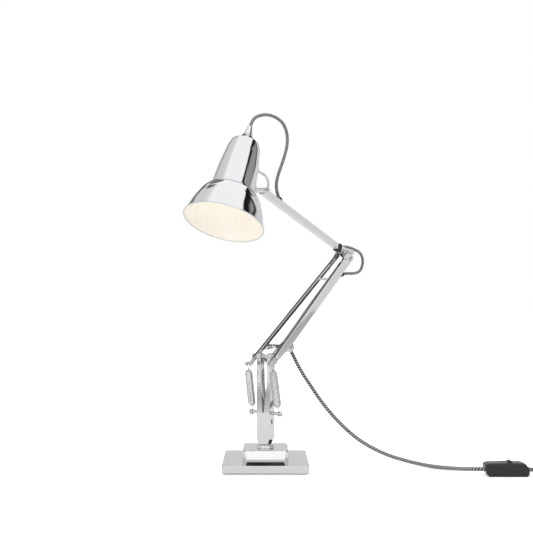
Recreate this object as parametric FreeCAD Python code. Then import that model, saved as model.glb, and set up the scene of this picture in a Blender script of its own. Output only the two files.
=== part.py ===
import FreeCAD, Part
import math
import os

# Architect lamp with a three-spring balanced arm. Millimetres, +Z up.
# The origin is the middle of the base's underside. The camera side of the base is -Y.
# The arm stands in a vertical plane through the base's middle, turned by arm_azimuth from +X.
# In that plane, x runs outwards, z runs up, and y points away from the arm's near side.

os.makedirs("parts", exist_ok=True)
Vec = FreeCAD.Vector
UP = Vec(0, 0, 1)
ACROSS = Vec(0, 1, 0)
arm_azimuth = 58.5
overrun = 2.0
running_gap = 0.05
free_gap = 0.3

# Base
base_side = 152.0
base_tier_height = 15.0
base_corner_radius = 8.0
base_edge_radius = 1.2
upper_tier_side = 82.0
upper_tier_height = 20.0
upper_tier_lean = 2.0
upper_edge_radius = 2.6
upper_corner_radius = 8.5
cover_wall = 1.2
lean_room = 0.7
skirt_gap = 1.6
felt_inset = 1.6
felt_thickness = 2.5
collar_radius = 16.3
collar_height = 4.5
collar_rounding = 4.0
spindle_radius = 4.0
spindle_head_radius = 11.0
spindle_head_height = 5.0
spindle_clip_radius = 5.6
spindle_clip_height = 1.5
weight_gap = 0.2

# Post
post_gap = 0.3
post_wall = 2.0
post_half_width = 13.35
post_front = 8.6
post_rear = 9.4
post_foot_cut = 8.0
post_foot_taper = 3.0
post_foot_rise = 13.0
post_box_top = 98.0
leg_top_half_width = 15.0
leg_spread_height = 151.0
leg_top_radius = 6.6
gap_half_width_mid = 6.2
gap_half_width_top = 7.0
gap_floor_radius = 1.2
bush_radius = 7.0
bush_height = 20.0
side_slot_height = 9.0
side_slot_width = 3.6
side_slot_z = 81.0
pivot_r = 1.0
pivot_z = 198.0
pivot_radius = 3.0
nut_radius = 5.2
nut_height = 4.2

# Springs and their pins
anchor_z = 96.5
anchor_radius = 3.0
anchor_half_length = 33.0
knob_radius = 4.4
knob_length = 3.0
rear_anchor_r = 17.0
rear_anchor_radius = 2.2
rear_ear_thickness = 2.0
rear_ear_inner = 3.0
rear_ear_radius = 4.5
spring_wire_radius = 1.0
spring_coil_radius = 6.3
spring_small_radius = 2.6
spring_turns = 28
spring_taper_turns = 3
spring_end_rise = 5.0
spring_foot_spread = 27.4
spring_head_spread = 25.7
side_spring_lower_reach = 9.0
side_spring_upper_reach = 8.6
centre_spring_lower_reach = 9.0
centre_spring_upper_reach = 10.0

# Lower arm
arm_length = 375.0
arm_rise = 32.0
bar_width = 6.2
bar_depth = 7.6
bar_edge = 0.6
bar_spread_foot = 21.0
bar_spread_elbow = 11.35
tail_length = 28.0
tail_lap_start = 8.0
tail_pin_along = 24.0
tail_pin_radius = 2.2
tail_pin_start = 15.6
tail_pin_end = 30.0
tail_pin_head_radius = 3.6
tail_pin_head_length = 2.0
arch_along = 25.0
arch_thickness = 9.0
arch_depth = 7.0
arch_radius = 13.0
brace_along = 268.0
brace_radius = 2.6
cheek_thickness = 1.5
cheek_length = 27.0
cheek_radius = 6.2
elbow_radius = 3.0

# Lever between the main pivot and the link's foot
lever_length = 21.3
lever_drop = 29.6
lever_plate_inner = 3.0
lever_plate_thickness = 2.0
lever_plate_radius = 5.0
lever_pin_radius = 2.5
lever_pin_end = 11.5
lever_knob_radius = 3.6
lever_knob_length = 2.6

# Link
link_width = 10.8
link_depth = 17.5
link_wall = 1.2
link_start = 57.0
link_tube_lean = 0.9
fork_plate_thickness = 2.0
fork_plate_width = 11.0
fork_overlap = 12.0
fork_bolt_radius = 2.0
fork_bolt_head_radius = 3.2
fork_bolt_head_height = 2.0
block_along = 69.0
block_length = 16.0
block_depth = 10.0
block_width = 13.0
block_edge = 2.5
link_grommet_back = 46.5
grommet_radius = 5.3
grommet_depth = 7.0
grommet_reach = 3.0
inner_cable_radius = 3.0
inner_cable_margin = 6.0

# Upper arm
upper_length = 347.6
upper_rise = 16.9
tube_side = 11.5
tube_wall = 1.2
tube_edge = 0.8
tube_start = 34.0
tube_stop = 10.0
boot_length = 6.0
boot_lap = 5.0
boot_wall = 1.2
boot_cheek = 0.6
elbow_plate_thickness = 1.5
elbow_plate_radius = 7.0
elbow_plate_lap = -1.5
tip_boss_radius = 4.4
tip_boss_half = 9.6
tip_length = 22.0
cross_bolt_radius = 2.5
cross_bolt_end = 14.6
tip_cable_back = 63.6
link_bolt_end = 8.6

# Head bracket
strap_radius = 2.0
strap_eye_radius = 4.4
strap_eye_thickness = 4.2
strap_bulge_spread = 14.5
strap_bulge = 11.0
strap_length = 42.46
strap_lean = 38.5
lug_half = 3.0
lug_eye_radius = 5.0
lug_bolt_radius = 2.0
small_nut_radius = 3.6
small_nut_height = 2.6

# Head
head_tilt = 25.6
lug_along_head = 48.03
lug_stand_off = 43.14
cap_wall = 1.2
cap_neck_radius = 8.0
cap_neck_length = 4.0
cap_shoulder_radius = 25.0
cap_shoulder_at = 20.5
cap_bell_radius = 30.4
cap_bell_at = 44.0
cap_rim_radius = 38.1
cap_length = 115.0
flare_dip = 0.8
shoulder_rise = 0.9
bell_rise = 1.1
seat_ring_width = 6.0
reflector_neck_radius = 41.0
reflector_neck_length = 1.5
reflector_mid_radius = 55.3
reflector_mid_at = 137.0
reflector_flare_radius = 64.1
reflector_flare_at = 160.0
reflector_mouth_radius = 69.8
reflector_length = 178.8
rim_bead_radius = 1.2
ferrule_base_radius = 7.2
ferrule_top_radius = 4.3
ferrule_length = 14.5
lampholder_radius = 17.0
lampholder_length = 42.0
lampholder_start = 20.0
holder_flange_radius = 21.0
holder_flange_height = 3.0
bulb_cap_radius = 13.0
bulb_cap_length = 22.0
bulb_radius = 29.0
bulb_length = 92.0
bulb_wall = 1.0

# Cables: the routes are in real sizes, chosen by hand. The elbow's loop is measured from the elbow
# and the head's loop from the arm's tip, in the arm's plane. The supply cord is in the row frame.
cable_radius = 3.0
cord_radius = 3.5
elbow_loop_route = [
    (-13.9, 0, -45.7), (2, -1.2, -44.2), (16.5, -3.2, -43.9), (30, -6, -43.7), (43, -9, -41.9),
    (51.5, -11.4, -37.4), (57.4, -13, -29.8), (59.7, -14, -20.5), (58, -14.2, -11), (52.7, -13.7, -3.1),
    (44.5, -12.8, 2), (31, -10.8, 6.3), (16.5, -7.6, 9.7), (1.5, -4.4, 11.9), (-13.4, -1.6, 12.1),
    (-27.4, 0, 9.1),
]
head_upper_route = [
    (-40, 0, 104.7), (-34.5, 0, 116.2), (-24, 0, 126), (-9.5, 0, 132.5), (8, 0, 137.4), (26.5, 0, 139.8),
    (45, 0, 139.6), (62, 0, 137), (76.5, 0, 132), (87, 0, 122.5), (92.8, 0, 109), (91.5, 0, 93.5),
    (85.5, 0, 79),
]
head_lower_route = [
    (78, 0, 65.5), (69.5, 0, 51.8), (60.5, 0, 38), (53.5, 0, 24.5), (51, 0, 11.5), (54.5, 0, 0.5),
    (62.6, 0, -11.8),
]
cord_top_route = [
    (54.5, 74, 190), (61.5, 69, 175.5), (72.5, 63, 157), (86, 58, 137),
]
cord_middle_route = [
    (101, 53.5, 114.5), (119, 47, 91.5), (141.5, 40, 67.5),
]
cord_floor_route = [
    (167, 31.5, 45.5), (193, 21.5, 30), (223, 8.5, 17.5), (256, -3.5, 9.5), (283, -15.5, 5.2),
    (306, -27.5, 3.6), (323, -40, 4.6), (336.5, -54, 6.1), (347.5, -67.5, 8.3), (357, -79, 10.6),
    (368, -84, 11.5),
]

# Switch, coil and plug on the supply cord
switch_centre = (413.0, -84.0)
switch_outline = [
    (-31, 0), (-35.5, 6), (-37.5, 14), (-38, 19), (-35, 22.3), (-30, 23.2), (0, 24), (25, 23.6),
    (31, 22), (35, 17), (38, 11.5), (38, 4.5), (35.5, 1), (33, 0),
]
switch_half_length = 38.0
switch_width = 26.0
switch_height = 24.0
switch_edge = 3.0
switch_split = 9.5
switch_pocket = 27.0
rocker_length = 20.0
rocker_width = 11.0
rocker_rise = 3.6
rocker_drop = 5.0
rocker_axle_radius = 1.5
cord_height_at_switch = 11.5
cord_grip = 5.0
cord_way_gap = 0.15
coil_centre_x = 532.0
coil_layer_turns = 2.5
coil_whole_turns = 5.25
coil_inner_radius = 30.0
coil_pitch = 7.6
coil_layer_rise = 7.6
coil_tail_length = 36.0
plug_length_body = 36.0
plug_width = 27.0
plug_height = 14.0
plug_edge = 3.0
plug_pin_radius = 2.0
plug_pin_length = 19.0
plug_pin_spacing = 19.0
plug_relief_length = 24.0


def save(name, shape):
    shape.exportStep("parts/" + name + ".step")
    print(name, "solids", len(shape.Solids), "volume", round(shape.Volume, 1), "valid", shape.isValid())


def place(shape):
    """Turns a shape from the arm's own plane into the row frame."""
    turned = shape.copy()
    turned.rotate(Vec(0, 0, 0), UP, arm_azimuth)
    return turned


def save_arm(name, shape):
    save(name, place(shape))


def row_point(r, across, z):
    """A point of the arm plane, in the row frame."""
    turn = math.radians(arm_azimuth)
    return Vec(r * math.cos(turn) - across * math.sin(turn), r * math.sin(turn) + across * math.cos(turn), z)


def block(x0, x1, y0, y1, z0, z1):
    return Part.makeBox(x1 - x0, y1 - y0, z1 - z0, Vec(x0, y0, z0))


def rod(start, end, radius):
    run = end - start
    return Part.makeCylinder(radius, run.Length, start, run)


def cross_rod(r, z, y0, y1, radius):
    """A rod across the arm plane, from y0 to y1."""
    return rod(Vec(r, y0, z), Vec(r, y1, z), radius)


def both_sides(shape):
    return Part.makeCompound([shape, shape.mirror(Vec(0, 0, 0), ACROSS)])


def fuse_all(shapes):
    whole = shapes[0]
    for shape in shapes[1:]:
        whole = whole.fuse(shape)
    return whole.removeSplitter()


def rounded_slab(side_x, side_y, z0, z1, corner, edge=0.0):
    slab = block(-side_x / 2, side_x / 2, -side_y / 2, side_y / 2, z0, z1)
    uprights = [e for e in slab.Edges if abs(e.Vertexes[0].Z - e.Vertexes[1].Z) > (z1 - z0) / 2]
    slab = slab.makeFillet(corner, uprights)
    if edge:
        rims = [e for e in slab.Edges if all(abs(v.Z - z1) < running_gap for v in e.Vertexes)]
        slab = slab.makeFillet(edge, rims)
    return slab


def dome_nut(r, z, y, side, radius, height):
    """A nut on a bolt's end at y, with a round face away from the arm."""
    end = y + side * height
    nut = cross_rod(r, z, y, end, radius)
    rim = [e for e in nut.Edges if abs(e.BoundBox.YMin - end) < running_gap and abs(e.BoundBox.YMax - end) < running_gap]
    return nut.makeFillet(height * 0.6, rim)


def arm_frame(origin, rise):
    """Unit vectors along a member that rises by an angle, and square to it in the plane."""
    turn = math.radians(rise)
    along = Vec(math.cos(turn), 0, math.sin(turn))
    normal = Vec(-math.sin(turn), 0, math.cos(turn))
    return origin, along, normal


def in_frame(frame, along, normal, y=0.0):
    origin, unit_along, unit_normal = frame
    return origin + unit_along * along + unit_normal * normal + Vec(0, y, 0)


def prism(points, y0, y1):
    """A flat plate from its outline in the arm plane, between y0 and y1."""
    corners = [Vec(p.x, y0, p.z) for p in points]
    face = Part.Face(Part.makePolygon(corners + corners[:1]))
    return face.extrude(Vec(0, y1 - y0, 0))


def bar_along(frame, a0, a1, n0, n1, y0, y1):
    corners = [in_frame(frame, a0, n0), in_frame(frame, a1, n0), in_frame(frame, a1, n1), in_frame(frame, a0, n1)]
    return prism(corners, y0, y1)


def hull_plate(centres, radii, y0, y1):
    """A plate whose outline wraps round two or three discs."""
    discs = [cross_rod(c.x, c.z, y0, y1, radius) for c, radius in zip(centres, radii)]
    webs = []
    for i in range(len(centres)):
        j = (i + 1) % len(centres)
        if len(centres) == 2 and i:
            continue
        run = centres[j] - centres[i]
        side = Vec(-run.z, 0, run.x).normalize()
        lean = math.asin((radii[i] - radii[j]) / run.Length)
        unit = Vec(run).normalize()
        left = side * math.cos(lean) + unit * math.sin(lean)
        right = side * -math.cos(lean) + unit * math.sin(lean)
        outline = [
            centres[i] + left * radii[i],
            centres[j] + left * radii[j],
            centres[j],
            centres[j] + right * radii[j],
            centres[i] + right * radii[i],
            centres[i],
        ]
        webs.append(prism(outline, y0, y1))
    if len(centres) > 2:
        webs.append(prism(centres, y0, y1))
    return fuse_all(discs + webs)


def unit_of(vector):
    return Vec(vector).normalize()


def arc_on(start, corner, end):
    """The arc that leaves start towards corner and reaches end, where both runs are alike."""
    chord = end - start
    lean = math.cos((corner - start).getAngle(chord))
    shoulder = (start + end + corner * (2 * lean)) * (1 / (2 * (1 + lean)))
    if (shoulder - (start + end) * 0.5).Length < running_gap / 100:
        return Part.LineSegment(start, end).toShape()
    return Part.Arc(start, shoulder, end).toShape()


def biarc(start, start_way, end, end_way):
    """Two arcs that leave start along start_way and reach end along end_way."""
    t0 = unit_of(start_way)
    t1 = unit_of(end_way)
    chord = end - start
    total = t0 + t1
    spread = 2 * (1 - t0.dot(t1))
    middle = chord.dot(total)
    if spread < 1e-9:
        reach = chord.dot(chord) / (4 * chord.dot(t0))
    else:
        reach = (math.sqrt(middle * middle + spread * chord.dot(chord)) - middle) / spread
    first = start + t0 * reach
    second = end - t1 * reach
    joint = (first + second) * 0.5
    return [arc_on(start, first, joint), arc_on(joint, second, end)]


def sweep(edges, radius):
    """A round tube along edges that meet tangentially."""
    path = Part.Wire(edges)
    start = edges[0].valueAt(edges[0].FirstParameter)
    way = edges[0].tangentAt(edges[0].FirstParameter)
    section = Part.Wire([Part.makeCircle(radius, start, way)])
    tube = path.makePipeShell([section], True, False)
    if tube.Volume < 0:
        tube.reverse()
    ratio = tube.Volume / (math.pi * radius * radius * path.Length)
    print("tube length", round(path.Length, 1), "volume over section times length", round(ratio, 4))
    return tube


def rounded_route(points, radius, name):
    """Straight runs joined by tangent arcs, each as large as its two runs allow."""
    edges = []
    last = points[0]
    radii = []
    for before, corner, after in zip(points, points[1:], points[2:]):
        back = before - corner
        ahead = after - corner
        turn = math.pi - back.getAngle(ahead)
        trim = 0.45 * min(back.Length, ahead.Length)
        radii.append(trim / math.tan(turn / 2))
        start = corner + unit_of(back) * trim
        end = corner + unit_of(ahead) * trim
        edges.append(Part.LineSegment(last, start).toShape())
        edges.append(arc_on(start, corner, end))
        last = end
    edges.append(Part.LineSegment(last, points[-1]).toShape())
    print(name, "arc radii", [round(value, 1) for value in radii])
    return sweep(edges, radius)


def least_gap(samples, radius, name):
    """Least gap of a tube to itself, measured between points a few diameters apart along it."""
    lengths = [0.0]
    for a, b in zip(samples, samples[1:]):
        lengths.append(lengths[-1] + (b - a).Length)
    least = None
    for i, a in enumerate(samples):
        for j in range(i + 1, len(samples)):
            if lengths[j] - lengths[i] < 8 * radius:
                continue
            gap = (samples[j] - a).Length - 2 * radius
            if least is None or gap < least:
                least = gap
    print(name, "least gap to itself", round(least, 2))


def path_samples(edges, per_edge):
    return [p for edge in edges for p in edge.discretize(Number=per_edge)[:-1]]


def arm_shapes():
    """Named places in the arm plane that several pieces share."""
    pivot = Vec(pivot_r, 0, pivot_z)
    lower = arm_frame(pivot, arm_rise)
    elbow = in_frame(lower, arm_length, 0)
    drop = math.radians(-lever_drop)
    lever = Vec(lever_length * math.cos(drop), 0, lever_length * math.sin(drop))
    link_foot = pivot + lever
    link_top = elbow + lever
    link = arm_frame(link_foot, arm_rise + link_tube_lean)
    link = arm_frame(in_frame(link, -arm_length, 0) + link_top - link_foot, arm_rise + link_tube_lean)
    upper = arm_frame(elbow, math.degrees(math.pi) - upper_rise)
    tip = in_frame(upper, upper_length, 0)
    lean = math.radians(strap_lean)
    lug = tip + Vec(-strap_length * math.sin(lean), 0, strap_length * math.cos(lean))
    tilt = math.radians(head_tilt)
    outwards = Vec(math.cos(tilt), 0, -math.sin(tilt))
    cap_top = lug - Vec(-math.sin(tilt), 0, -math.cos(tilt)) * lug_along_head - outwards * lug_stand_off
    return {
        "pivot": pivot, "lower": lower, "elbow": elbow, "lever": lever, "link_foot": link_foot,
        "link_top": link_top, "link": link, "upper": upper, "tip": tip, "lug": lug,
        "outwards": outwards, "cap_top": cap_top,
    }


PLACES = arm_shapes()


def route_from(place_at, route):
    """A route's points, measured from a place in the arm plane."""
    return [place_at + Vec(*point) for point in route]


def bar_middle(along):
    """How far a lower bar's middle stands from the arm plane, at a distance from the main pivot."""
    return bar_spread_foot + (bar_spread_elbow - bar_spread_foot) * along / arm_length


def make_base():
    top = base_tier_height
    crown = top + upper_tier_height
    lower = rounded_slab(base_side, base_side, skirt_gap, top, base_corner_radius, base_edge_radius)
    inner_side = base_side - 2 * cover_wall
    hollow = rounded_slab(inner_side, inner_side, skirt_gap - overrun, top - cover_wall, base_corner_radius - cover_wall)
    passage = rod(Vec(0, 0, 0), Vec(0, 0, crown + collar_height + overrun), spindle_radius + weight_gap)
    neck_side = upper_tier_side - 2 * cover_wall - 2 * lean_room
    neck = rounded_slab(neck_side, neck_side, 0, crown - cover_wall, upper_corner_radius - cover_wall)
    save("base_lower_cover", lower.cut(hollow).cut(neck))
    upper = rounded_slab(upper_tier_side, upper_tier_side, top, crown, upper_corner_radius, upper_edge_radius)
    # The upper tier's four sides lean in a little towards the top.
    upper_half = upper_tier_side / 2
    lean_in = upper_tier_height * math.tan(math.radians(upper_tier_lean))
    beside = Part.Face(Part.makePolygon([
        Vec(-base_side, -upper_half, top), Vec(-base_side, -upper_half + lean_in, crown),
        Vec(-base_side, -base_side, crown), Vec(-base_side, -base_side, top), Vec(-base_side, -upper_half, top),
    ])).extrude(Vec(2 * base_side, 0, 0))
    for quarter in range(4):
        upper = upper.cut(beside.copy().rotate(Vec(0, 0, 0), UP, 90 * quarter))
    save("base_upper_cover", upper.cut(neck).cut(passage))
    felt_side = base_side - 2 * felt_inset
    felt = rounded_slab(felt_side, felt_side, 0, felt_thickness, base_corner_radius - cover_wall)
    save("felt_pad", felt)
    slab = rounded_slab(inner_side, inner_side, felt_thickness, top - cover_wall, base_corner_radius - cover_wall)
    weight = slab.fuse(neck.cut(block(-base_side, base_side, -base_side, base_side, 0, felt_thickness)))
    pocket = rod(Vec(0, 0, felt_thickness), Vec(0, 0, felt_thickness + spindle_head_height), spindle_head_radius)
    save("base_weight", weight.cut(pocket).cut(passage).removeSplitter())
    collar = rod(Vec(0, 0, crown), Vec(0, 0, crown + collar_height), collar_radius)
    collar = collar.makeFillet(collar_rounding, [e for e in collar.Edges if e.BoundBox.ZMin > crown + collar_height / 2])
    save("base_collar", collar.cut(passage))
    post_floor = crown + collar_height + post_gap
    bush_top = post_floor + post_foot_rise + bush_height
    head = rod(Vec(0, 0, felt_thickness), Vec(0, 0, felt_thickness + spindle_head_height), spindle_head_radius)
    shaft = rod(Vec(0, 0, felt_thickness), Vec(0, 0, bush_top + free_gap), spindle_radius)
    clip = rod(Vec(0, 0, bush_top + free_gap), Vec(0, 0, bush_top + free_gap + spindle_clip_height), spindle_clip_radius)
    save("spindle", fuse_all([head, shaft, clip]))
    return post_floor


def make_post(post_floor):
    pivot = PLACES["pivot"]
    top = post_box_top
    side_outline = [
        Vec(-post_front, 0, post_floor),
        Vec(post_rear - post_foot_cut, 0, post_floor),
        Vec(post_rear, 0, post_floor + post_foot_rise),
        Vec(post_rear, 0, top),
        Vec(pivot.x + leg_top_radius, 0, leg_spread_height),
        Vec(pivot.x + leg_top_radius, 0, pivot.z),
        Vec(pivot.x - leg_top_radius, 0, pivot.z),
        Vec(pivot.x - leg_top_radius, 0, leg_spread_height),
        Vec(-post_front, 0, top),
    ]
    wide = leg_top_half_width + overrun
    side_view = prism(side_outline, -wide, wide).fuse(cross_rod(pivot.x, pivot.z, -wide, wide, leg_top_radius))
    reach = post_front + post_rear
    front_outline = [
        (-post_half_width + post_foot_taper, post_floor),
        (post_half_width - post_foot_taper, post_floor),
        (post_half_width, post_floor + post_foot_rise),
        (post_half_width, top),
        (leg_top_half_width, leg_spread_height),
        (leg_top_half_width, pivot.z + leg_top_radius + overrun),
        (-leg_top_half_width, pivot.z + leg_top_radius + overrun),
        (-leg_top_half_width, leg_spread_height),
        (-post_half_width, top),
        (-post_half_width, post_floor + post_foot_rise),
    ]
    corners = [Vec(-reach, y, z) for y, z in front_outline]
    front_view = Part.Face(Part.makePolygon(corners + corners[:1])).extrude(Vec(2 * reach, 0, 0))
    solid = side_view.common(front_view)
    gap_outline = [
        (-gap_floor_radius, top),
        (gap_floor_radius, top),
        (gap_half_width_mid, leg_spread_height),
        (gap_half_width_top, pivot.z + leg_top_radius + overrun),
        (-gap_half_width_top, pivot.z + leg_top_radius + overrun),
        (-gap_half_width_mid, leg_spread_height),
    ]
    corners = [Vec(-reach, y, z) for y, z in gap_outline]
    gap = Part.Face(Part.makePolygon(corners + corners[:1])).extrude(Vec(2 * reach, 0, 0))
    gap = gap.fuse(rod(Vec(-reach, 0, top), Vec(reach, 0, top), gap_floor_radius))
    hollow = block(
        -post_front + post_wall, post_rear - post_wall,
        -post_half_width + post_wall, post_half_width - post_wall,
        post_floor + post_foot_rise, top - post_wall,
    )
    # Each leg is a channel, open behind.
    channel_out = leg_top_half_width - post_wall
    channel_in = gap_half_width_top + post_wall
    channel = prism(
        [
            Vec(-post_front + 2 * post_wall, 0, top + post_wall),
            Vec(reach, 0, top + post_wall),
            Vec(reach, 0, pivot.z - leg_top_radius - post_wall),
            Vec(pivot.x - leg_top_radius + post_wall, 0, pivot.z - leg_top_radius - post_wall),
            Vec(pivot.x - leg_top_radius + post_wall, 0, leg_spread_height),
        ],
        channel_in, channel_out - post_wall,
    )
    floor_bore = rod(Vec(0, 0, post_floor - overrun), Vec(0, 0, top / 2 + bush_height), spindle_radius + running_gap * 4)
    bush_start = post_floor + post_foot_rise
    bush_end = bush_start + bush_height
    bush_seat = rod(Vec(0, 0, bush_start), Vec(0, 0, bush_end), bush_radius)
    slot = block(
        -side_slot_width / 2, side_slot_width / 2, -post_half_width - overrun, -post_half_width + post_wall + overrun,
        side_slot_z - side_slot_height / 2, side_slot_z + side_slot_height / 2,
    )
    body = solid.cut(gap).cut(hollow).cut(floor_bore).cut(bush_seat).cut(slot)
    body = body.cut(both_sides(channel))
    body = body.cut(cross_rod(pivot.x, pivot.z, -wide, wide, pivot_radius))
    body = body.cut(cross_rod(0, anchor_z, -wide, wide, anchor_radius))
    ear_z = anchor_z
    ears = []
    for side in (-1, 1):
        y0 = side * rear_ear_inner
        y1 = side * (rear_ear_inner + rear_ear_thickness)
        centres = [Vec(post_rear, 0, ear_z - rear_ear_radius), Vec(rear_anchor_r, 0, ear_z - rear_ear_radius)]
        lobes = [rear_ear_radius, rear_ear_radius]
        ears.append(hull_plate(centres, lobes, min(y0, y1), max(y0, y1)))
    ears = [e.cut(cross_rod(rear_anchor_r, ear_z - rear_ear_radius, -wide, wide, rear_anchor_radius)) for e in ears]
    ears = [e.cut(block(-reach, post_rear - post_wall / 2, -wide, wide, 0, top)) for e in ears]
    body = fuse_all([body] + ears)
    save_arm("post_bracket", body)
    bush = rod(Vec(0, 0, bush_start), Vec(0, 0, bush_end), bush_radius)
    bore = rod(Vec(0, 0, post_floor), Vec(0, 0, bush_end + overrun), spindle_radius + running_gap)
    save_arm("post_bush", bush.cut(bore))
    anchor = cross_rod(0, anchor_z, -anchor_half_length, anchor_half_length, anchor_radius)
    knob = cross_rod(0, anchor_z, anchor_half_length - knob_length, anchor_half_length, knob_radius)
    knob = knob.cut(anchor)
    save_arm("spring_anchor_rod", fuse_all([anchor, knob, knob.mirror(Vec(0, 0, 0), ACROSS)]))
    pin_half = rear_ear_inner + rear_ear_thickness + overrun
    save_arm("rear_anchor_pin", cross_rod(rear_anchor_r, ear_z - rear_ear_radius, -pin_half, pin_half, rear_anchor_radius))
    bolt_end = bar_middle(0) + bar_width / 2 + free_gap
    save_arm("main_pivot_bolt", cross_rod(pivot.x, pivot.z, -bolt_end, bolt_end, pivot_radius))
    nut = dome_nut(pivot.x, pivot.z, bolt_end, 1, nut_radius, nut_height)
    spacer_end = bar_middle(0) - bar_width / 2 - free_gap
    spacer = cross_rod(pivot.x, pivot.z, leg_top_half_width, spacer_end, nut_radius)
    spacer = spacer.cut(cross_rod(pivot.x, pivot.z, 0, wide + nut_radius, pivot_radius))
    save_arm("pivot_dome_nuts", both_sides(nut))
    save_arm("pivot_spacers", both_sides(spacer))


def spring_form(foot, foot_radius, head, head_radius, lower_reach, upper_reach, name):
    """One wire: a hook round the foot pin, a tapered coil, and a hook round the head pin."""
    axis = unit_of(head - foot)
    side = unit_of(axis.cross(ACROSS)) * -1
    hook_axis = unit_of(axis.cross(side))
    coil_start = foot + axis * (foot_radius + lower_reach)
    coil_end = head - axis * (head_radius + upper_reach)
    coil_length = (coil_end - coil_start).Length
    u = side
    w = unit_of(axis.cross(u))

    def radius_at(turn):
        near_end = min(turn, spring_turns - turn) / spring_taper_turns
        if near_end >= 1:
            return spring_coil_radius
        ease = math.sin(near_end * math.pi / 2)
        return spring_small_radius + (spring_coil_radius - spring_small_radius) * ease

    def point_at(turn):
        angle = 2 * math.pi * turn
        ring = u * math.cos(angle) + w * math.sin(angle)
        return coil_start + axis * (coil_length * turn / spring_turns) + ring * radius_at(turn)

    def way_at(turn):
        step = 0.001
        low = max(turn - step, 0)
        high = min(turn + step, spring_turns)
        return point_at(high) - point_at(low)

    edges = []
    lower_hook = foot_radius + free_gap + spring_wire_radius
    upper_hook = head_radius + free_gap + spring_wire_radius

    def hook_point(centre, radius, degrees):
        angle = math.radians(degrees)
        return centre + u * (radius * math.cos(angle)) + axis * (radius * math.sin(angle))

    edges.append(Part.Arc(
        hook_point(foot, lower_hook, 130), hook_point(foot, lower_hook, 245), hook_point(foot, lower_hook, 360),
    ).toShape())
    foot_stem = foot + axis * (foot_radius + lower_reach - spring_end_rise)
    edges += biarc(hook_point(foot, lower_hook, 0), axis, foot_stem, axis)
    edges += biarc(foot_stem, axis, point_at(0), way_at(0))
    steps = 2 * spring_turns
    for step in range(steps):
        a = step / 2
        b = (step + 1) / 2
        edges += biarc(point_at(a), way_at(a), point_at(b), way_at(b))
    head_stem = head - axis * (head_radius + upper_reach - spring_end_rise)
    edges += biarc(point_at(spring_turns), way_at(spring_turns), head_stem, axis)
    edges += biarc(head_stem, axis, hook_point(head, upper_hook, 180), axis)
    edges.append(Part.Arc(
        hook_point(head, upper_hook, 180), hook_point(head, upper_hook, 65), hook_point(head, upper_hook, -50),
    ).toShape())
    least_gap(path_samples(edges, 6), spring_wire_radius, name)
    return sweep(edges, spring_wire_radius)


def make_springs():
    lower = PLACES["lower"]
    tail = in_frame(lower, -tail_pin_along, 0)
    for name, side in (("left_spring", 1), ("right_spring", -1)):
        foot = Vec(0, side * spring_foot_spread, anchor_z)
        head = tail + Vec(0, side * spring_head_spread, 0)
        save_arm(name, spring_form(
            foot, anchor_radius, head, tail_pin_radius, side_spring_lower_reach, side_spring_upper_reach, name))
    foot = Vec(rear_anchor_r, 0, anchor_z - rear_ear_radius)
    save_arm("centre_spring", spring_form(
        foot, rear_anchor_radius, PLACES["link_foot"], lever_pin_radius,
        centre_spring_lower_reach, centre_spring_upper_reach, "centre_spring"))


def lower_bar(side):
    lower = PLACES["lower"]
    half = bar_width / 2
    corners = []
    for along, offset in ((-tail_length, -half), (arm_length, -half), (arm_length, half), (-tail_length, half)):
        corners.append(in_frame(lower, along, 0, side * (bar_middle(along) + offset)))
    face = Part.Face(Part.makePolygon(corners + corners[:1]))
    normal = lower[2]
    face.translate(normal * (-bar_depth / 2))
    bar = face.extrude(normal * bar_depth)
    long_edges = [e for e in bar.Edges if e.Length > arm_length]
    bar = bar.makeChamfer(bar_edge, long_edges)
    elbow = PLACES["elbow"]
    y_middle = side * bar_middle(arm_length)
    eye = cross_rod(elbow.x, elbow.z, y_middle - half + running_gap, y_middle + half - running_gap, bar_depth / 2 + overrun / 2)
    bar = bar.fuse(eye)
    lap_y0 = bar_middle(-tail_length / 2)
    lap_y1 = lap_y0 + bar_width
    lap = bar_along(
        lower, -tail_length - overrun, -tail_lap_start, -bar_depth, bar_depth,
        min(side * lap_y0, side * lap_y1), max(side * lap_y0, side * lap_y1),
    )
    bar = bar.cut(lap)
    reach = bar_spread_foot + bar_width
    bar = bar.cut(cross_rod(PLACES["pivot"].x, PLACES["pivot"].z, -reach, reach, pivot_radius + running_gap))
    bar = bar.cut(cross_rod(elbow.x, elbow.z, -reach, reach, elbow_radius))
    tail = in_frame(lower, -tail_pin_along, 0)
    return bar.cut(cross_rod(tail.x, tail.z, -reach, reach, tail_pin_radius)).removeSplitter()


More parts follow.
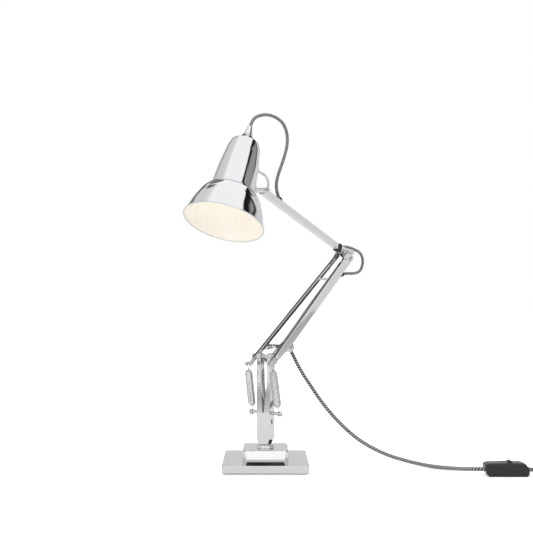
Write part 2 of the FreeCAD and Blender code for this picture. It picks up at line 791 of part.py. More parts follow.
def make_lower_arm():
    lower = PLACES["lower"]
    elbow = PLACES["elbow"]
    save_arm("left_arm_bar", lower_bar(1))
    save_arm("right_arm_bar", lower_bar(-1))
    arch_half = bar_middle(arch_along + arch_thickness) - bar_width / 2
    arch = bar_along(
        lower, arch_along, arch_along + arch_thickness, -arch_depth / 2, arch_depth / 2, -arch_half, arch_half)
    arch_cut = rod(
        in_frame(lower, arch_along - arch_thickness * 0.9, -bar_depth),
        in_frame(lower, arch_along - arch_thickness * 0.9, bar_depth),
        arch_radius,
    )
    save_arm("arch_plate", arch.cut(arch_cut))
    brace_half = bar_middle(brace_along + brace_radius) - bar_width / 2
    brace_at = in_frame(lower, brace_along, 0)
    save_arm("cross_brace", cross_rod(brace_at.x, brace_at.z, -brace_half, brace_half, brace_radius))
    tail = in_frame(lower, -tail_pin_along, 0)
    pin = cross_rod(tail.x, tail.z, tail_pin_start, tail_pin_end, tail_pin_radius)
    head = cross_rod(tail.x, tail.z, tail_pin_end - tail_pin_head_length, tail_pin_end, tail_pin_head_radius)
    save_arm("tail_pins", both_sides(pin.fuse(head)))
    cheek_in = bar_middle(arm_length - cheek_length - brace_radius) + bar_width / 2 + running_gap
    tip = in_frame(lower, arm_length - cheek_length, 0)
    cheek = hull_plate([elbow, tip], [cheek_radius, brace_radius], cheek_in, cheek_in + cheek_thickness)
    cheek = cheek.cut(cross_rod(elbow.x, elbow.z, 0, cheek_in + overrun + cheek_thickness, elbow_radius))
    save_arm("elbow_cheeks", both_sides(cheek))
    bolt_end = cheek_in + cheek_thickness
    bolt = cross_rod(elbow.x, elbow.z, -bolt_end, bolt_end, elbow_radius)
    nuts = both_sides(dome_nut(elbow.x, elbow.z, bolt_end, 1, nut_radius, nut_height))
    save_arm("elbow_bolt", Part.makeCompound([bolt] + nuts.Solids))


def make_lever():
    pivot = PLACES["pivot"]
    foot = PLACES["link_foot"]
    y0 = lever_plate_inner
    y1 = lever_plate_inner + lever_plate_thickness
    plate = hull_plate([pivot, foot], [lever_plate_radius, lever_plate_radius], y0, y1)
    plate = plate.cut(cross_rod(pivot.x, pivot.z, 0, y1 + overrun, pivot_radius + running_gap))
    plate = plate.cut(cross_rod(foot.x, foot.z, 0, y1 + overrun, lever_pin_radius))
    save_arm("lever_plates", both_sides(plate))
    pin = cross_rod(foot.x, foot.z, -lever_pin_end, lever_pin_end, lever_pin_radius)
    knob_start = lever_pin_end - lever_knob_length
    knob = cross_rod(foot.x, foot.z, knob_start, lever_pin_end, lever_knob_radius).cut(pin)
    save_arm("lever_pin", fuse_all([pin, knob, knob.mirror(Vec(0, 0, 0), ACROSS)]))


def square_tube(frame, a0, a1, width, depth, wall, edge):
    """A hollow square tube along a member."""
    outer = bar_along(frame, a0, a1, -depth / 2, depth / 2, -width / 2, width / 2)
    outer = outer.makeFillet(edge, [e for e in outer.Edges if e.Length > (a1 - a0) - running_gap])
    inner = bar_along(
        frame, a0 - overrun, a1 + overrun, -depth / 2 + wall, depth / 2 - wall, -width / 2 + wall, width / 2 - wall)
    return outer.cut(inner)


def slanted_grommet(name, tube, outline, mouth, way):
    """A grommet that leans with the cable, on a tube whose outer face is the outline's; returns the bored tube."""
    ring = rod(mouth - way * grommet_depth, mouth + way * grommet_reach, grommet_radius)
    bore = rod(mouth - way * grommet_depth, mouth + way * (grommet_reach + overrun), cable_radius + running_gap)
    ring = ring.cut(outline).cut(bore)
    save_arm(name, max(ring.Solids, key=lambda s: s.Volume))
    return tube.cut(rod(mouth - way * grommet_depth, mouth + way * grommet_depth, cable_radius + free_gap))


def make_link():
    link = PLACES["link"]
    top = PLACES["link_top"]
    foot = PLACES["link_foot"]
    tube = square_tube(link, link_start, arm_length, link_width, link_depth, link_wall, tube_edge)
    half = link_width / 2
    cap = cross_rod(top.x, top.z, -half, half, link_depth / 2)
    cap_room = cross_rod(top.x, top.z, -half + link_wall, half - link_wall, link_depth / 2 - link_wall)
    near_side = bar_along(link, 0, arm_length, -link_depth, link_depth, -link_width, link_width)
    cap = cap.cut(cap_room).cut(near_side)
    tube = tube.fuse(cap)
    tube = tube.cut(cross_rod(top.x, top.z, -link_width, link_width, cross_bolt_radius + running_gap))
    mouth, second = route_from(PLACES["elbow"], elbow_loop_route[:2])
    way = unit_of(second - mouth)
    outline = bar_along(link, 0, arm_length, -link_depth / 2, link_depth / 2, -half, half)
    tube = slanted_grommet("link_grommet", tube, outline, mouth, way)
    y0 = half
    y1 = half + fork_plate_thickness
    end = in_frame(link, link_start + fork_overlap, 0)
    plate = hull_plate([foot, end], [fork_plate_width / 2, fork_plate_width / 2], y0, y1)
    plate = plate.cut(cross_rod(foot.x, foot.z, 0, y1 + overrun, lever_pin_radius + running_gap))
    bolts = []
    heads = []
    for along in (link_start - fork_overlap / 2, link_start + fork_overlap / 2):
        at = in_frame(link, along, 0)
        bolts.append(cross_rod(at.x, at.z, -y1, y1, fork_bolt_radius))
        heads.append(dome_nut(at.x, at.z, y1, 1, fork_bolt_head_radius, fork_bolt_head_height))
    save_arm("link_fork_plates", both_sides(plate.cut(bolts[0]).cut(bolts[1])))
    heads += [h.mirror(Vec(0, 0, 0), ACROSS) for h in heads]
    save_arm("fork_bolts", Part.makeCompound(bolts + heads))
    save_arm("link_tube", tube.cut(bolts[1]).removeSplitter())


def make_cable_block():
    link = PLACES["link"]
    n0 = -link_depth / 2 - block_depth
    body = bar_along(
        link, block_along - block_length / 2, block_along + block_length / 2, n0, -link_depth / 2,
        -block_width / 2, block_width / 2)
    far = [e for e in body.Edges if min(v.Point.distanceToPoint(in_frame(link, block_along, n0)) for v in e.Vertexes)
           < block_depth + overrun]
    body = body.makeFillet(block_edge, far)
    exit_point = in_frame(link, block_along, n0)
    start = row_point(exit_point.x, exit_point.y, exit_point.z)
    way = unit_of(Vec(*cord_top_route[0]) - start)
    bore = rod(start - way * (2 * cord_grip), start + way * cord_grip, cord_radius + running_gap)
    save("cable_block", place(body).cut(bore))
    return start


def make_upper_arm():
    upper = PLACES["upper"]
    elbow = PLACES["elbow"]
    top = PLACES["link_top"]
    tip = PLACES["tip"]
    half = tube_side / 2
    tube = square_tube(upper, tube_start, upper_length - tube_stop, tube_side, tube_side, tube_wall, tube_edge)
    before, mouth = route_from(tip, head_lower_route[-2:])
    way = unit_of(before - mouth)
    outline = bar_along(upper, 0, upper_length, -half, half, -half, half)
    tube = slanted_grommet("arm_tip_grommet", tube, outline, mouth, way)
    save_arm("upper_arm_tube", tube)
    y0 = half
    y1 = half + elbow_plate_thickness
    lap = in_frame(upper, tube_start + elbow_plate_lap, 0)
    plate = hull_plate([elbow, top, lap], [elbow_plate_radius, elbow_plate_radius, half], y0, y1)
    plate = plate.cut(cross_rod(elbow.x, elbow.z, 0, y1 + overrun, elbow_radius + free_gap))
    plate = plate.cut(cross_rod(top.x, top.z, 0, y1 + overrun, cross_bolt_radius))
    save_arm("elbow_plates", both_sides(plate))
    # The boot closes the tube's end and wraps the ends of both plates.
    deep = half + boot_wall
    wide = y1 + boot_cheek
    boot = bar_along(upper, tube_start - boot_length, tube_start + boot_lap, -deep, deep, -wide, wide)
    boot = boot.makeFillet(tube_edge, [e for e in boot.Edges if e.Length > boot_length + boot_lap - running_gap])
    boot = boot.cut(outline.common(bar_along(upper, tube_start, upper_length, -deep, deep, -wide, wide)))
    inner = half - tube_wall
    throat = bar_along(upper, tube_start - boot_length - overrun, tube_start, -inner, inner, -inner, inner)
    save_arm("arm_end_plug", boot.cut(throat).cut(both_sides(plate)))
    bolt = cross_rod(top.x, top.z, -link_bolt_end, link_bolt_end, cross_bolt_radius)
    nuts = both_sides(dome_nut(top.x, top.z, link_bolt_end, 1, small_nut_radius, small_nut_height))
    save_arm("link_top_bolt", Part.makeCompound([bolt] + nuts.Solids))
    inner = half - tube_wall
    knuckle = bar_along(
        upper, upper_length - tip_length, upper_length, -inner, inner, -inner, inner)
    collar = bar_along(
        upper, upper_length - tube_stop, upper_length - tip_boss_radius / 2, -half, half, -half, half)
    boss = cross_rod(tip.x, tip.z, -tip_boss_half, tip_boss_half, tip_boss_radius)
    knuckle = fuse_all([knuckle, collar, boss])
    knuckle = knuckle.cut(cross_rod(tip.x, tip.z, -tip_boss_half - overrun, tip_boss_half + overrun, cross_bolt_radius))
    save_arm("arm_tip_knuckle", knuckle)
    nuts = both_sides(dome_nut(tip.x, tip.z, cross_bolt_end, 1, small_nut_radius, small_nut_height))
    bolt = cross_rod(tip.x, tip.z, -cross_bolt_end, cross_bolt_end, cross_bolt_radius)
    save_arm("tip_cross_bolt", Part.makeCompound([bolt] + nuts.Solids))
    low = -half + tube_wall + inner_cable_radius
    start = in_frame(upper, tube_start + inner_cable_margin, low)
    stop = in_frame(upper, upper_length - tip_cable_back - inner_cable_margin, low)
    save_arm("arm_inner_cable", rod(start, stop, inner_cable_radius))


def make_link_cable():
    link = PLACES["link"]
    low = -link_depth / 2 + link_wall + inner_cable_radius
    start = in_frame(link, block_along + block_length, low)
    stop = in_frame(link, arm_length - link_grommet_back - inner_cable_margin, low)
    save_arm("link_inner_cable", rod(start, stop, inner_cable_radius))


def make_bracket():
    tip = PLACES["tip"]
    lug = PLACES["lug"]
    run = tip - lug
    across = unit_of(Vec(-run.z, 0, run.x))
    eye_in = tip_boss_half + free_gap
    lug_in = lug_half + free_gap
    middle = (tip + lug) * 0.5
    for name, side in (("left_strap", 1), ("right_strap", -1)):
        eye_y = side * (eye_in + strap_eye_thickness / 2)
        lug_y = side * (lug_in + strap_eye_thickness / 2)
        points = [
            lug + Vec(0, lug_y, 0),
            lug + run * 0.22 + across * (strap_bulge * 0.5) + Vec(0, side * (lug_in + strap_eye_thickness), 0),
            middle + across * strap_bulge + Vec(0, side * (strap_bulge_spread * 0.9), 0),
            tip - run * 0.2 + across * (strap_bulge * 0.75) + Vec(0, side * strap_bulge_spread, 0),
            tip + Vec(0, eye_y, 0),
        ]
        strap = rounded_route(points, strap_radius, name)
        parts = [strap]
        parts.append(cross_rod(
            tip.x, tip.z, eye_y - strap_eye_thickness / 2, eye_y + strap_eye_thickness / 2, strap_eye_radius))
        parts.append(cross_rod(
            lug.x, lug.z, lug_y - strap_eye_thickness / 2, lug_y + strap_eye_thickness / 2, strap_eye_radius))
        whole = fuse_all(parts)
        # Each eye is faced flat on both sides.
        reach = strap_eye_radius + overrun
        for place_at, inner in ((tip, eye_in), (lug, lug_in)):
            outer = inner + strap_eye_thickness
            whole = whole.cut(cross_rod(place_at.x, place_at.z, side * outer, side * (outer + overrun), reach))
            whole = whole.cut(cross_rod(place_at.x, place_at.z, side * (inner - overrun), side * inner, reach))
        whole = whole.cut(cross_rod(tip.x, tip.z, -cross_bolt_end, cross_bolt_end, cross_bolt_radius + running_gap))
        whole = whole.cut(cross_rod(lug.x, lug.z, -cross_bolt_end, cross_bolt_end, lug_bolt_radius + running_gap))
        save_arm(name, whole)


def head_place(shape):
    """Puts a shape that was made along -Z from the cap's top into its place on the arm."""
    placed = shape.copy()
    placed.rotate(Vec(0, 0, 0), ACROSS, head_tilt)
    placed.translate(PLACES["cap_top"])
    return placed


def lathe(edges):
    return Part.Face(Part.Wire(edges)).revolve(Vec(0, 0, 0), UP, 360)


def line(a, b):
    return Part.LineSegment(Vec(a[0], 0, -a[1]), Vec(b[0], 0, -b[1])).toShape()


def arc(a, b, c):
    return Part.Arc(Vec(a[0], 0, -a[1]), Vec(b[0], 0, -b[1]), Vec(c[0], 0, -c[1])).toShape()


def bulge_point(a, b, rise):
    """The middle of a line between two outline points, pushed outwards."""
    run = Vec(b[0] - a[0], b[1] - a[1], 0)
    side = unit_of(Vec(run.y, -run.x, 0)) * rise
    return ((a[0] + b[0]) / 2 + side.x, (a[1] + b[1]) / 2 + side.y)


def cap_outline(inset):
    """Four spans of the cap's outer face, or of its inner face where inset is the wall."""
    neck = (cap_neck_radius - inset, cap_neck_length + inset)
    shoulder = (cap_shoulder_radius - inset, cap_shoulder_at + inset / 2)
    bell = (cap_bell_radius - inset, cap_bell_at)
    rim = (cap_rim_radius - inset, cap_length)
    return neck, shoulder, bell, rim


def make_cap():
    neck, shoulder, bell, rim = cap_outline(0)
    neck_in, shoulder_in, bell_in, rim_in = cap_outline(cap_wall)
    bore = ferrule_top_radius
    edges = [
        line((bore, 0), (neck[0], 0)),
        line((neck[0], 0), neck),
        arc(neck, bulge_point(neck, shoulder, -flare_dip), shoulder),
        arc(shoulder, bulge_point(shoulder, bell, shoulder_rise), bell),
        arc(bell, bulge_point(bell, rim, bell_rise), rim),
        line(rim, rim_in),
        arc(rim_in, bulge_point(rim_in, bell_in, -bell_rise), bell_in),
        arc(bell_in, bulge_point(bell_in, shoulder_in, -shoulder_rise), shoulder_in),
        arc(shoulder_in, bulge_point(shoulder_in, neck_in, flare_dip), neck_in),
        line(neck_in, (bore, neck_in[1])),
        line((bore, neck_in[1]), (bore, 0)),
    ]
    save_arm("shade_cap", head_place(lathe(edges)))


def reflector_outline(inset):
    neck = (reflector_neck_radius - inset, cap_length)
    collar = (reflector_neck_radius - inset, cap_length + reflector_neck_length)
    mid = (reflector_mid_radius - inset, reflector_mid_at + inset / 2)
    flare = (reflector_flare_radius - inset, reflector_flare_at + inset / 4)
    mouth = (reflector_mouth_radius - inset, reflector_length - rim_bead_radius)
    return neck, collar, mid, flare, mouth


def make_reflector():
    neck, collar, mid, flare, mouth = reflector_outline(0)
    neck_in, collar_in, mid_in, flare_in, mouth_in = reflector_outline(cap_wall)
    inner_ring = cap_rim_radius - seat_ring_width
    seat = cap_length + cap_wall
    edges = [
        line((inner_ring, cap_length), neck),
        line(neck, collar),
        arc(collar, bulge_point(collar, mid, 1.5 * cap_wall), mid),
        arc(mid, bulge_point(mid, flare, 0.5 * cap_wall), flare),
        arc(flare, bulge_point(flare, mouth, -0.2 * cap_wall), mouth),
        line(mouth, mouth_in),
        arc(mouth_in, bulge_point(mouth_in, flare_in, 0.2 * cap_wall), flare_in),
        arc(flare_in, bulge_point(flare_in, mid_in, -0.5 * cap_wall), mid_in),
        arc(mid_in, bulge_point(mid_in, collar_in, -1.5 * cap_wall), collar_in),
        line(collar_in, (neck_in[0], seat)),
        line((neck_in[0], seat), (inner_ring, seat)),
        line((inner_ring, seat), (inner_ring, cap_length)),
    ]
    shell = lathe(edges)
    bead = Part.makeTorus(
        reflector_mouth_radius - rim_bead_radius / 2, rim_bead_radius, Vec(0, 0, -reflector_length + rim_bead_radius))
    save_arm("shade_reflector", head_place(shell.fuse(bead).removeSplitter()))


def make_lamp_inside():
    flange_top = cap_shoulder_at + cap_wall * 2
    flange = rod(Vec(0, 0, -flange_top), Vec(0, 0, -flange_top - holder_flange_height), holder_flange_radius)
    body = rod(Vec(0, 0, -lampholder_start), Vec(0, 0, -lampholder_start - lampholder_length), lampholder_radius)
    holder = flange.fuse(body)
    socket_top = lampholder_start + lampholder_length - bulb_cap_length
    holder = holder.cut(rod(Vec(0, 0, -socket_top), Vec(0, 0, -socket_top - bulb_cap_length - overrun), bulb_cap_radius))
    stem_radius = cap_neck_radius - cap_wall - free_gap
    stem = rod(Vec(0, 0, -cap_neck_length - cap_wall), Vec(0, 0, -lampholder_start), stem_radius)
    bore = rod(Vec(0, 0, 0), Vec(0, 0, -lampholder_start), cable_radius + free_gap)
    holder = fuse_all([holder, stem]).cut(bore)
    save_arm("lampholder", head_place(holder))
    centre_at = socket_top + bulb_length - bulb_radius
    ball = Part.makeSphere(bulb_radius, Vec(0, 0, -centre_at))
    neck_start = lampholder_start + lampholder_length
    cone_end = centre_at - bulb_radius * 0.5
    cone_end_radius = bulb_radius * math.sqrt(1 - 0.5 * 0.5)
    cone = Part.makeCone(bulb_cap_radius, cone_end_radius, cone_end - neck_start, Vec(0, 0, -neck_start), Vec(0, 0, -1))
    cap = rod(Vec(0, 0, -socket_top), Vec(0, 0, -neck_start), bulb_cap_radius)
    hollow = fuse_all([
        Part.makeSphere(bulb_radius - bulb_wall, Vec(0, 0, -centre_at)),
        Part.makeCone(
            bulb_cap_radius - bulb_wall, cone_end_radius - bulb_wall, cone_end - neck_start,
            Vec(0, 0, -neck_start), Vec(0, 0, -1)),
        rod(Vec(0, 0, -socket_top + overrun), Vec(0, 0, -neck_start), bulb_cap_radius - bulb_wall),
    ])
    save_arm("bulb", head_place(fuse_all([cap, cone, ball]).cut(hollow)))


def make_ferrule():
    cone = Part.makeCone(ferrule_base_radius, ferrule_top_radius, ferrule_length)
    foot = rod(Vec(0, 0, -cap_neck_length - cap_wall), Vec(0, 0, 0), ferrule_top_radius)
    bore = rod(Vec(0, 0, -cap_length), Vec(0, 0, ferrule_length + overrun), cable_radius + free_gap)
    save_arm("cable_ferrule", head_place(fuse_all([cone, foot]).cut(bore)))
    top = head_place(Part.Vertex(Vec(0, 0, ferrule_length))).Point
    return top


def make_lug():
    """The plate on the cap's side that takes the lug bolt, and the bolt."""
    lug = PLACES["lug"]
    wall_point = lug - PLACES["outwards"] * (lug_stand_off - cap_bell_radius)
    plate = hull_plate([lug, wall_point], [lug_eye_radius, lug_eye_radius + cap_wall], -lug_half, lug_half)
    neck, shoulder, bell, rim = cap_outline(0)
    solid_cap = lathe([
        line((0, 0), (neck[0], 0)),
        line((neck[0], 0), neck),
        arc(neck, bulge_point(neck, shoulder, -flare_dip), shoulder),
        arc(shoulder, bulge_point(shoulder, bell, shoulder_rise), bell),
        arc(bell, bulge_point(bell, rim, bell_rise), rim),
        line(rim, (0, rim[1])),
        line((0, rim[1]), (0, 0)),
    ])
    plate = plate.cut(head_place(solid_cap))
    plate = plate.cut(cross_rod(lug.x, lug.z, -lug_half - overrun, lug_half + overrun, lug_bolt_radius))
    save_arm("shade_lug", Part.makeCompound([max(plate.Solids, key=lambda s: s.Volume)]))
    end = lug_half + free_gap * 2 + strap_eye_thickness
    bolt = cross_rod(lug.x, lug.z, -end, end, lug_bolt_radius)
    nuts = both_sides(dome_nut(lug.x, lug.z, end, 1, small_nut_radius, small_nut_height))
    save_arm("lug_bolt", Part.makeCompound([bolt] + nuts.Solids))


def make_loops():
    elbow_points = route_from(PLACES["elbow"], elbow_loop_route)
    save_arm("elbow_cable_loop", rounded_route(elbow_points, cable_radius, "elbow_cable_loop"))
    first = route_from(PLACES["tip"], head_upper_route)
    second = route_from(PLACES["tip"], head_lower_route)
    middle = (first[-1] + second[0]) * 0.5
    save_arm("head_cable_upper", rounded_route(first + [middle], cable_radius, "head_cable_upper"))
    save_arm("head_cable_lower", rounded_route([middle] + second, cable_radius, "head_cable_lower"))


def make_supply_cord(start):
    switch_end = Vec(switch_centre[0] - switch_half_length + cord_grip, switch_centre[1], cord_height_at_switch)
    top = [start] + [Vec(*p) for p in cord_top_route]
    middle = [Vec(*p) for p in cord_middle_route]
    floor = [Vec(*p) for p in cord_floor_route] + [switch_end]
    first = (top[-1] + middle[0]) * 0.5
    second = (middle[-1] + floor[0]) * 0.5
    save("supply_cord_top", rounded_route(top + [first], cord_radius, "supply_cord_top"))
    save("supply_cord_middle", rounded_route([first] + middle + [second], cord_radius, "supply_cord_middle"))
    save("supply_cord_floor", rounded_route([second] + floor, cord_radius, "supply_cord_floor"))


def make_switch():
    x, y = switch_centre
    half_width = switch_width / 2
    corners = [Vec(x + dx, y - half_width, dz) for dx, dz in switch_outline]
    body = Part.Face(Part.makePolygon(corners + corners[:1])).extrude(Vec(0, switch_width, 0))
    ends = [e for e in body.Edges if e.BoundBox.YLength < overrun / 2]
    body = body.makeFillet(switch_edge, ends)
    left = x - switch_half_length
    right = x + switch_half_length
    wide = switch_width
    z = cord_height_at_switch
    cord_ways = fuse_all([
        rod(Vec(left - overrun, y, z), Vec(left + cord_grip, y, z), cord_radius + cord_way_gap),
        rod(Vec(right - cord_grip, y, z), Vec(right + overrun, y, z), cord_radius + cord_way_gap),
    ])
    well = block(
        x - rocker_length / 2 - 2 * free_gap, x + rocker_length / 2 + 2 * free_gap,
        y - rocker_width / 2 - free_gap, y + rocker_width / 2 + free_gap,
        switch_height - rocker_drop - rocker_rise, switch_height + overrun)
    axle_z = switch_height - rocker_drop / 2
    axle_half = rocker_width / 2 + overrun
    axle_room = rod(Vec(x, y - axle_half, axle_z), Vec(x, y + axle_half, axle_z), rocker_axle_radius + running_gap)
    cavity = block(
        x - switch_pocket, x + switch_pocket, y - half_width + switch_edge, y + half_width - switch_edge,
        switch_edge, switch_split)
    lower = body.cut(block(left - overrun, right + overrun, y - wide, y + wide, switch_split, 2 * switch_height))
    upper = body.cut(block(left - overrun, right + overrun, y - wide, y + wide, -overrun, switch_split))
    save("switch_base", lower.cut(cavity).cut(cord_ways))
    save("switch_cover", upper.cut(well).cut(cord_ways).cut(axle_room))
    half = rocker_length / 2 - free_gap / 2
    profile = [
        Vec(x - half, y, axle_z - rocker_drop / 2),
        Vec(x - half, y, switch_height - rocker_rise / 4),
        Vec(x, y, switch_height),
        Vec(x + half / 2, y, switch_height + rocker_rise),
        Vec(x + half, y, switch_height + rocker_rise / 4),
        Vec(x + half, y, axle_z - rocker_drop / 2),
        Vec(x, y, axle_z - rocker_drop),
    ]
    rocker_half = rocker_width / 2 - free_gap / 2
    rocker = prism(profile, y - rocker_half, y + rocker_half)
    axle = rod(
        Vec(x, y - axle_half + running_gap, axle_z), Vec(x, y + axle_half - running_gap, axle_z), rocker_axle_radius)
    save("switch_rocker", fuse_all([rocker, axle]))
    return Vec(right - cord_grip, y, z)


def make_coil(lead_start):
    """A lead from the switch, then turns that spiral in, climb, and spiral out again."""
    low = cord_radius
    outer = coil_inner_radius + coil_pitch * coil_layer_turns
    cx = coil_centre_x
    cy = lead_start.y + outer
    total = coil_whole_turns

    def ring(turn):
        if turn <= coil_layer_turns:
            return outer - coil_pitch * turn
        return coil_inner_radius + coil_pitch * (turn - coil_layer_turns)

    def level(turn):
        share = min(max((turn - coil_layer_turns + 0.25) / 0.5, 0.0), 1.0)
        ease = share * share * (3 - 2 * share)
        return low + coil_layer_rise * ease

    def point_at(turn):
        angle = 2 * math.pi * turn - math.pi / 2
        radius = ring(turn)
        return Vec(cx + radius * math.cos(angle), cy + radius * math.sin(angle), level(turn))

    def way_at(turn):
        step = 0.002
        low_turn = max(turn - step, 0)
        high_turn = min(turn + step, total)
        return point_at(high_turn) - point_at(low_turn)

    edges = []
    start = point_at(0)
    stub = lead_start + Vec(3 * cord_grip, 0, 0)
    edges.append(Part.LineSegment(lead_start, stub).toShape())
    edges += biarc(stub, Vec(1, 0, 0), start, way_at(0))
    steps = round(4 * total)
    for step in range(steps):
        a = step / 4
        b = (step + 1) / 4
        edges += biarc(point_at(a), way_at(a), point_at(b), way_at(b))
    end = point_at(total)
    end_way = unit_of(way_at(total))
    tail_way = Vec(0, 1, 0)
    tail = Vec(end.x + coil_pitch / 2, end.y + coil_tail_length, plug_height / 2)
    edges += biarc(end, end_way, tail, tail_way)
    least_gap(path_samples(edges, 6), cord_radius, "cord_coil")
    print("cord_coil length", round(Part.Wire(edges).Length, 1))
    save("cord_coil", sweep(edges, cord_radius))
    return tail, tail_way


def make_plug(start, way):
    """A slim two-pin plug on the coil's end."""
    turn = math.degrees(math.atan2(way.y, way.x))
    z = start.z

    def put(shape):
        moved = shape.copy()
        moved.rotate(Vec(0, 0, 0), UP, turn)
        moved.translate(Vec(start.x, start.y, 0))
        return moved

    relief = Part.makeCone(cord_radius, plug_height / 2 - plug_edge / 2, plug_relief_length, Vec(0, 0, z), Vec(1, 0, 0))
    body_start = plug_relief_length
    body_end = body_start + plug_length_body
    body = block(body_start, body_end, -plug_width / 2, plug_width / 2, z - plug_height / 2, z + plug_height / 2)
    body = body.makeFillet(plug_edge, [e for e in body.Edges if e.Length > plug_length_body - running_gap])
    save("plug_body", put(fuse_all([relief, body])))
    pins = []
    for side in (-1, 1):
        y = side * plug_pin_spacing / 2
        pins.append(rod(Vec(body_end, y, z), Vec(body_end + plug_pin_length, y, z), plug_pin_radius))
    save("plug_pins", put(Part.makeCompound(pins)))


post_floor = make_base()
make_post(post_floor)
make_springs()
make_lower_arm()
make_lever()
make_link()
cord_start = make_cable_block()
make_link_cable()
make_upper_arm()
make_bracket()
make_cap()
make_reflector()
make_lamp_inside()
make_ferrule()
make_lug()
make_loops()
make_supply_cord(cord_start)
lead_start = make_switch()
coil_end, coil_way = make_coil(lead_start)
make_plug(coil_end, coil_way)
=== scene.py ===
# %% [markdown]
# # A balanced-arm desk lamp in polished chrome
# The lamp stands on a stepped square base. A folded post swivels on it, two converging bars and a link
# make a parallelogram, and a square tube carries the head. This lesson loads the rigid model as it is,
# and then makes what a rigid model can't show well: the cords, the springs, the finishes and the light.

# %% Load the rigid model
import math
import bpy
from mathutils import Matrix, Vector


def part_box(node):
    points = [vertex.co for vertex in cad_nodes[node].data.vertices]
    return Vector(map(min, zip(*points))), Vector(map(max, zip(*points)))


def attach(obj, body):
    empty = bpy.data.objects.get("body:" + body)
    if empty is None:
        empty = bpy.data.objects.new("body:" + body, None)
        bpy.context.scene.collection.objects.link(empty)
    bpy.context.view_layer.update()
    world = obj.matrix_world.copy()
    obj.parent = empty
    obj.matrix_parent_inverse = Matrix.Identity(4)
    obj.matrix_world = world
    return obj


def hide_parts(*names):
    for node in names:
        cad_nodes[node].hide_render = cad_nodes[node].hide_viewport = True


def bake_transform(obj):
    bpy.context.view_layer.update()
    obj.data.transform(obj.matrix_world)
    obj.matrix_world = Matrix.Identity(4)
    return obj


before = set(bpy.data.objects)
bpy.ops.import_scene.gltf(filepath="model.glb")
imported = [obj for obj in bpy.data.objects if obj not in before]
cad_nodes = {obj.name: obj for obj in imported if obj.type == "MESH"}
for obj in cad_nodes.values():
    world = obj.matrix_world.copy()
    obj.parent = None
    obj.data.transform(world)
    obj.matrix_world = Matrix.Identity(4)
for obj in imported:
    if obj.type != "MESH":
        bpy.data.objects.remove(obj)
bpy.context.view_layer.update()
scene = bpy.context.scene

# %% [markdown]
# ## Places in the arm's own plane
# The whole arm stands in one vertical plane that is turned from the camera. It is easier to think in
# that plane: a distance outwards, a distance across, and a height. One small function turns such a
# place into the lamp's own frame, and from millimetres into Blender's metres.

# %% From the arm's plane to the lamp's frame
arm_azimuth = math.radians(58.5)


def arm_point(outwards, across, height):
    x = outwards * math.cos(arm_azimuth) - across * math.sin(arm_azimuth)
    y = outwards * math.sin(arm_azimuth) + across * math.cos(arm_azimuth)
    return Vector((x, y, height)) / 1000


def row_point(x, y, z):
    return Vector((x, y, z)) / 1000


across_the_arm = Vector((-math.sin(arm_azimuth), math.cos(arm_azimuth), 0))
print("the arm's plane is turned", round(math.degrees(arm_azimuth), 1), "degrees")

# %% [markdown]
# ## The camera
# The photograph was taken from about 1.6 m with a short telephoto, from just above half the lamp's
# height. The horizon is a little below the picture's middle, so the camera has a small upward shift
# instead of a tilt, which keeps the post upright.

# %% Camera
camera_distance = 1.631
camera_height = 0.324
camera_data = bpy.data.cameras.new("studio_camera")
camera_data.sensor_width = 36
camera_data.lens = 60.86
camera_data.shift_y = 0.0385
camera_data.clip_start = 0.05
camera_data.clip_end = 50
camera = bpy.data.objects.new("studio_camera", camera_data)
camera.location = (0.0018, -camera_distance, camera_height)
camera.rotation_euler = (math.radians(90), 0, 0)
scene.collection.objects.link(camera)
scene.camera = camera
print("camera looks along +Y from", tuple(round(v, 3) for v in camera.location))

# %% [markdown]
# ## One helper for nodes
# Materials and node groups are easier to read when each node is one line: its kind, its inputs and
# its settings. An input that is a socket becomes a link, and anything else becomes its value.

# %% Node and colour helpers


def add_node(tree, kind, inputs=None, **settings):
    node = tree.nodes.new(kind)
    for name, value in settings.items():
        setattr(node, name, value)
    for key, value in (inputs or {}).items():
        if isinstance(value, bpy.types.NodeSocket):
            tree.links.new(value, node.inputs[key])
        else:
            node.inputs[key].default_value = value
    return node


def linear(hex_colour):
    """An sRGB hex colour as the linear colour that shaders work in."""
    channels = [int(hex_colour[i:i + 2], 16) / 255 for i in (1, 3, 5)]
    return [c / 12.92 if c <= 0.04045 else ((c + 0.055) / 1.055) ** 2.4 for c in channels] + [1.0]


def grey(level):
    return (level, level, level, 1.0)


def set_stops(ramp, stops):
    """Places a colour ramp's stops, each a position and a level of grey."""
    elements = ramp.color_ramp.elements
    while len(elements) < len(stops):
        elements.new(1.0)
    for element, (position, level) in zip(elements, stops):
        element.position = position
        element.color = grey(level)


print("helpers for nodes and colours are ready")

# %% [markdown]
# ## What the chrome sees
# Polished chrome has no colour of its own. It shows the room, so the room is the finish. The studio
# here is a pale table sweep that rises all round to knee height. Walls stand above it: white behind the
# camera, light grey on the left and at the back, and darker grey on the right, between two black flags.
# A long soft box hangs overhead from front to back, with one more black flag along its right edge. The
# room could be built from real panels, but a world made of angles is lighter and has no noise. Two
# angles are enough: the bearing round the lamp, and the overhead angle from left to right.

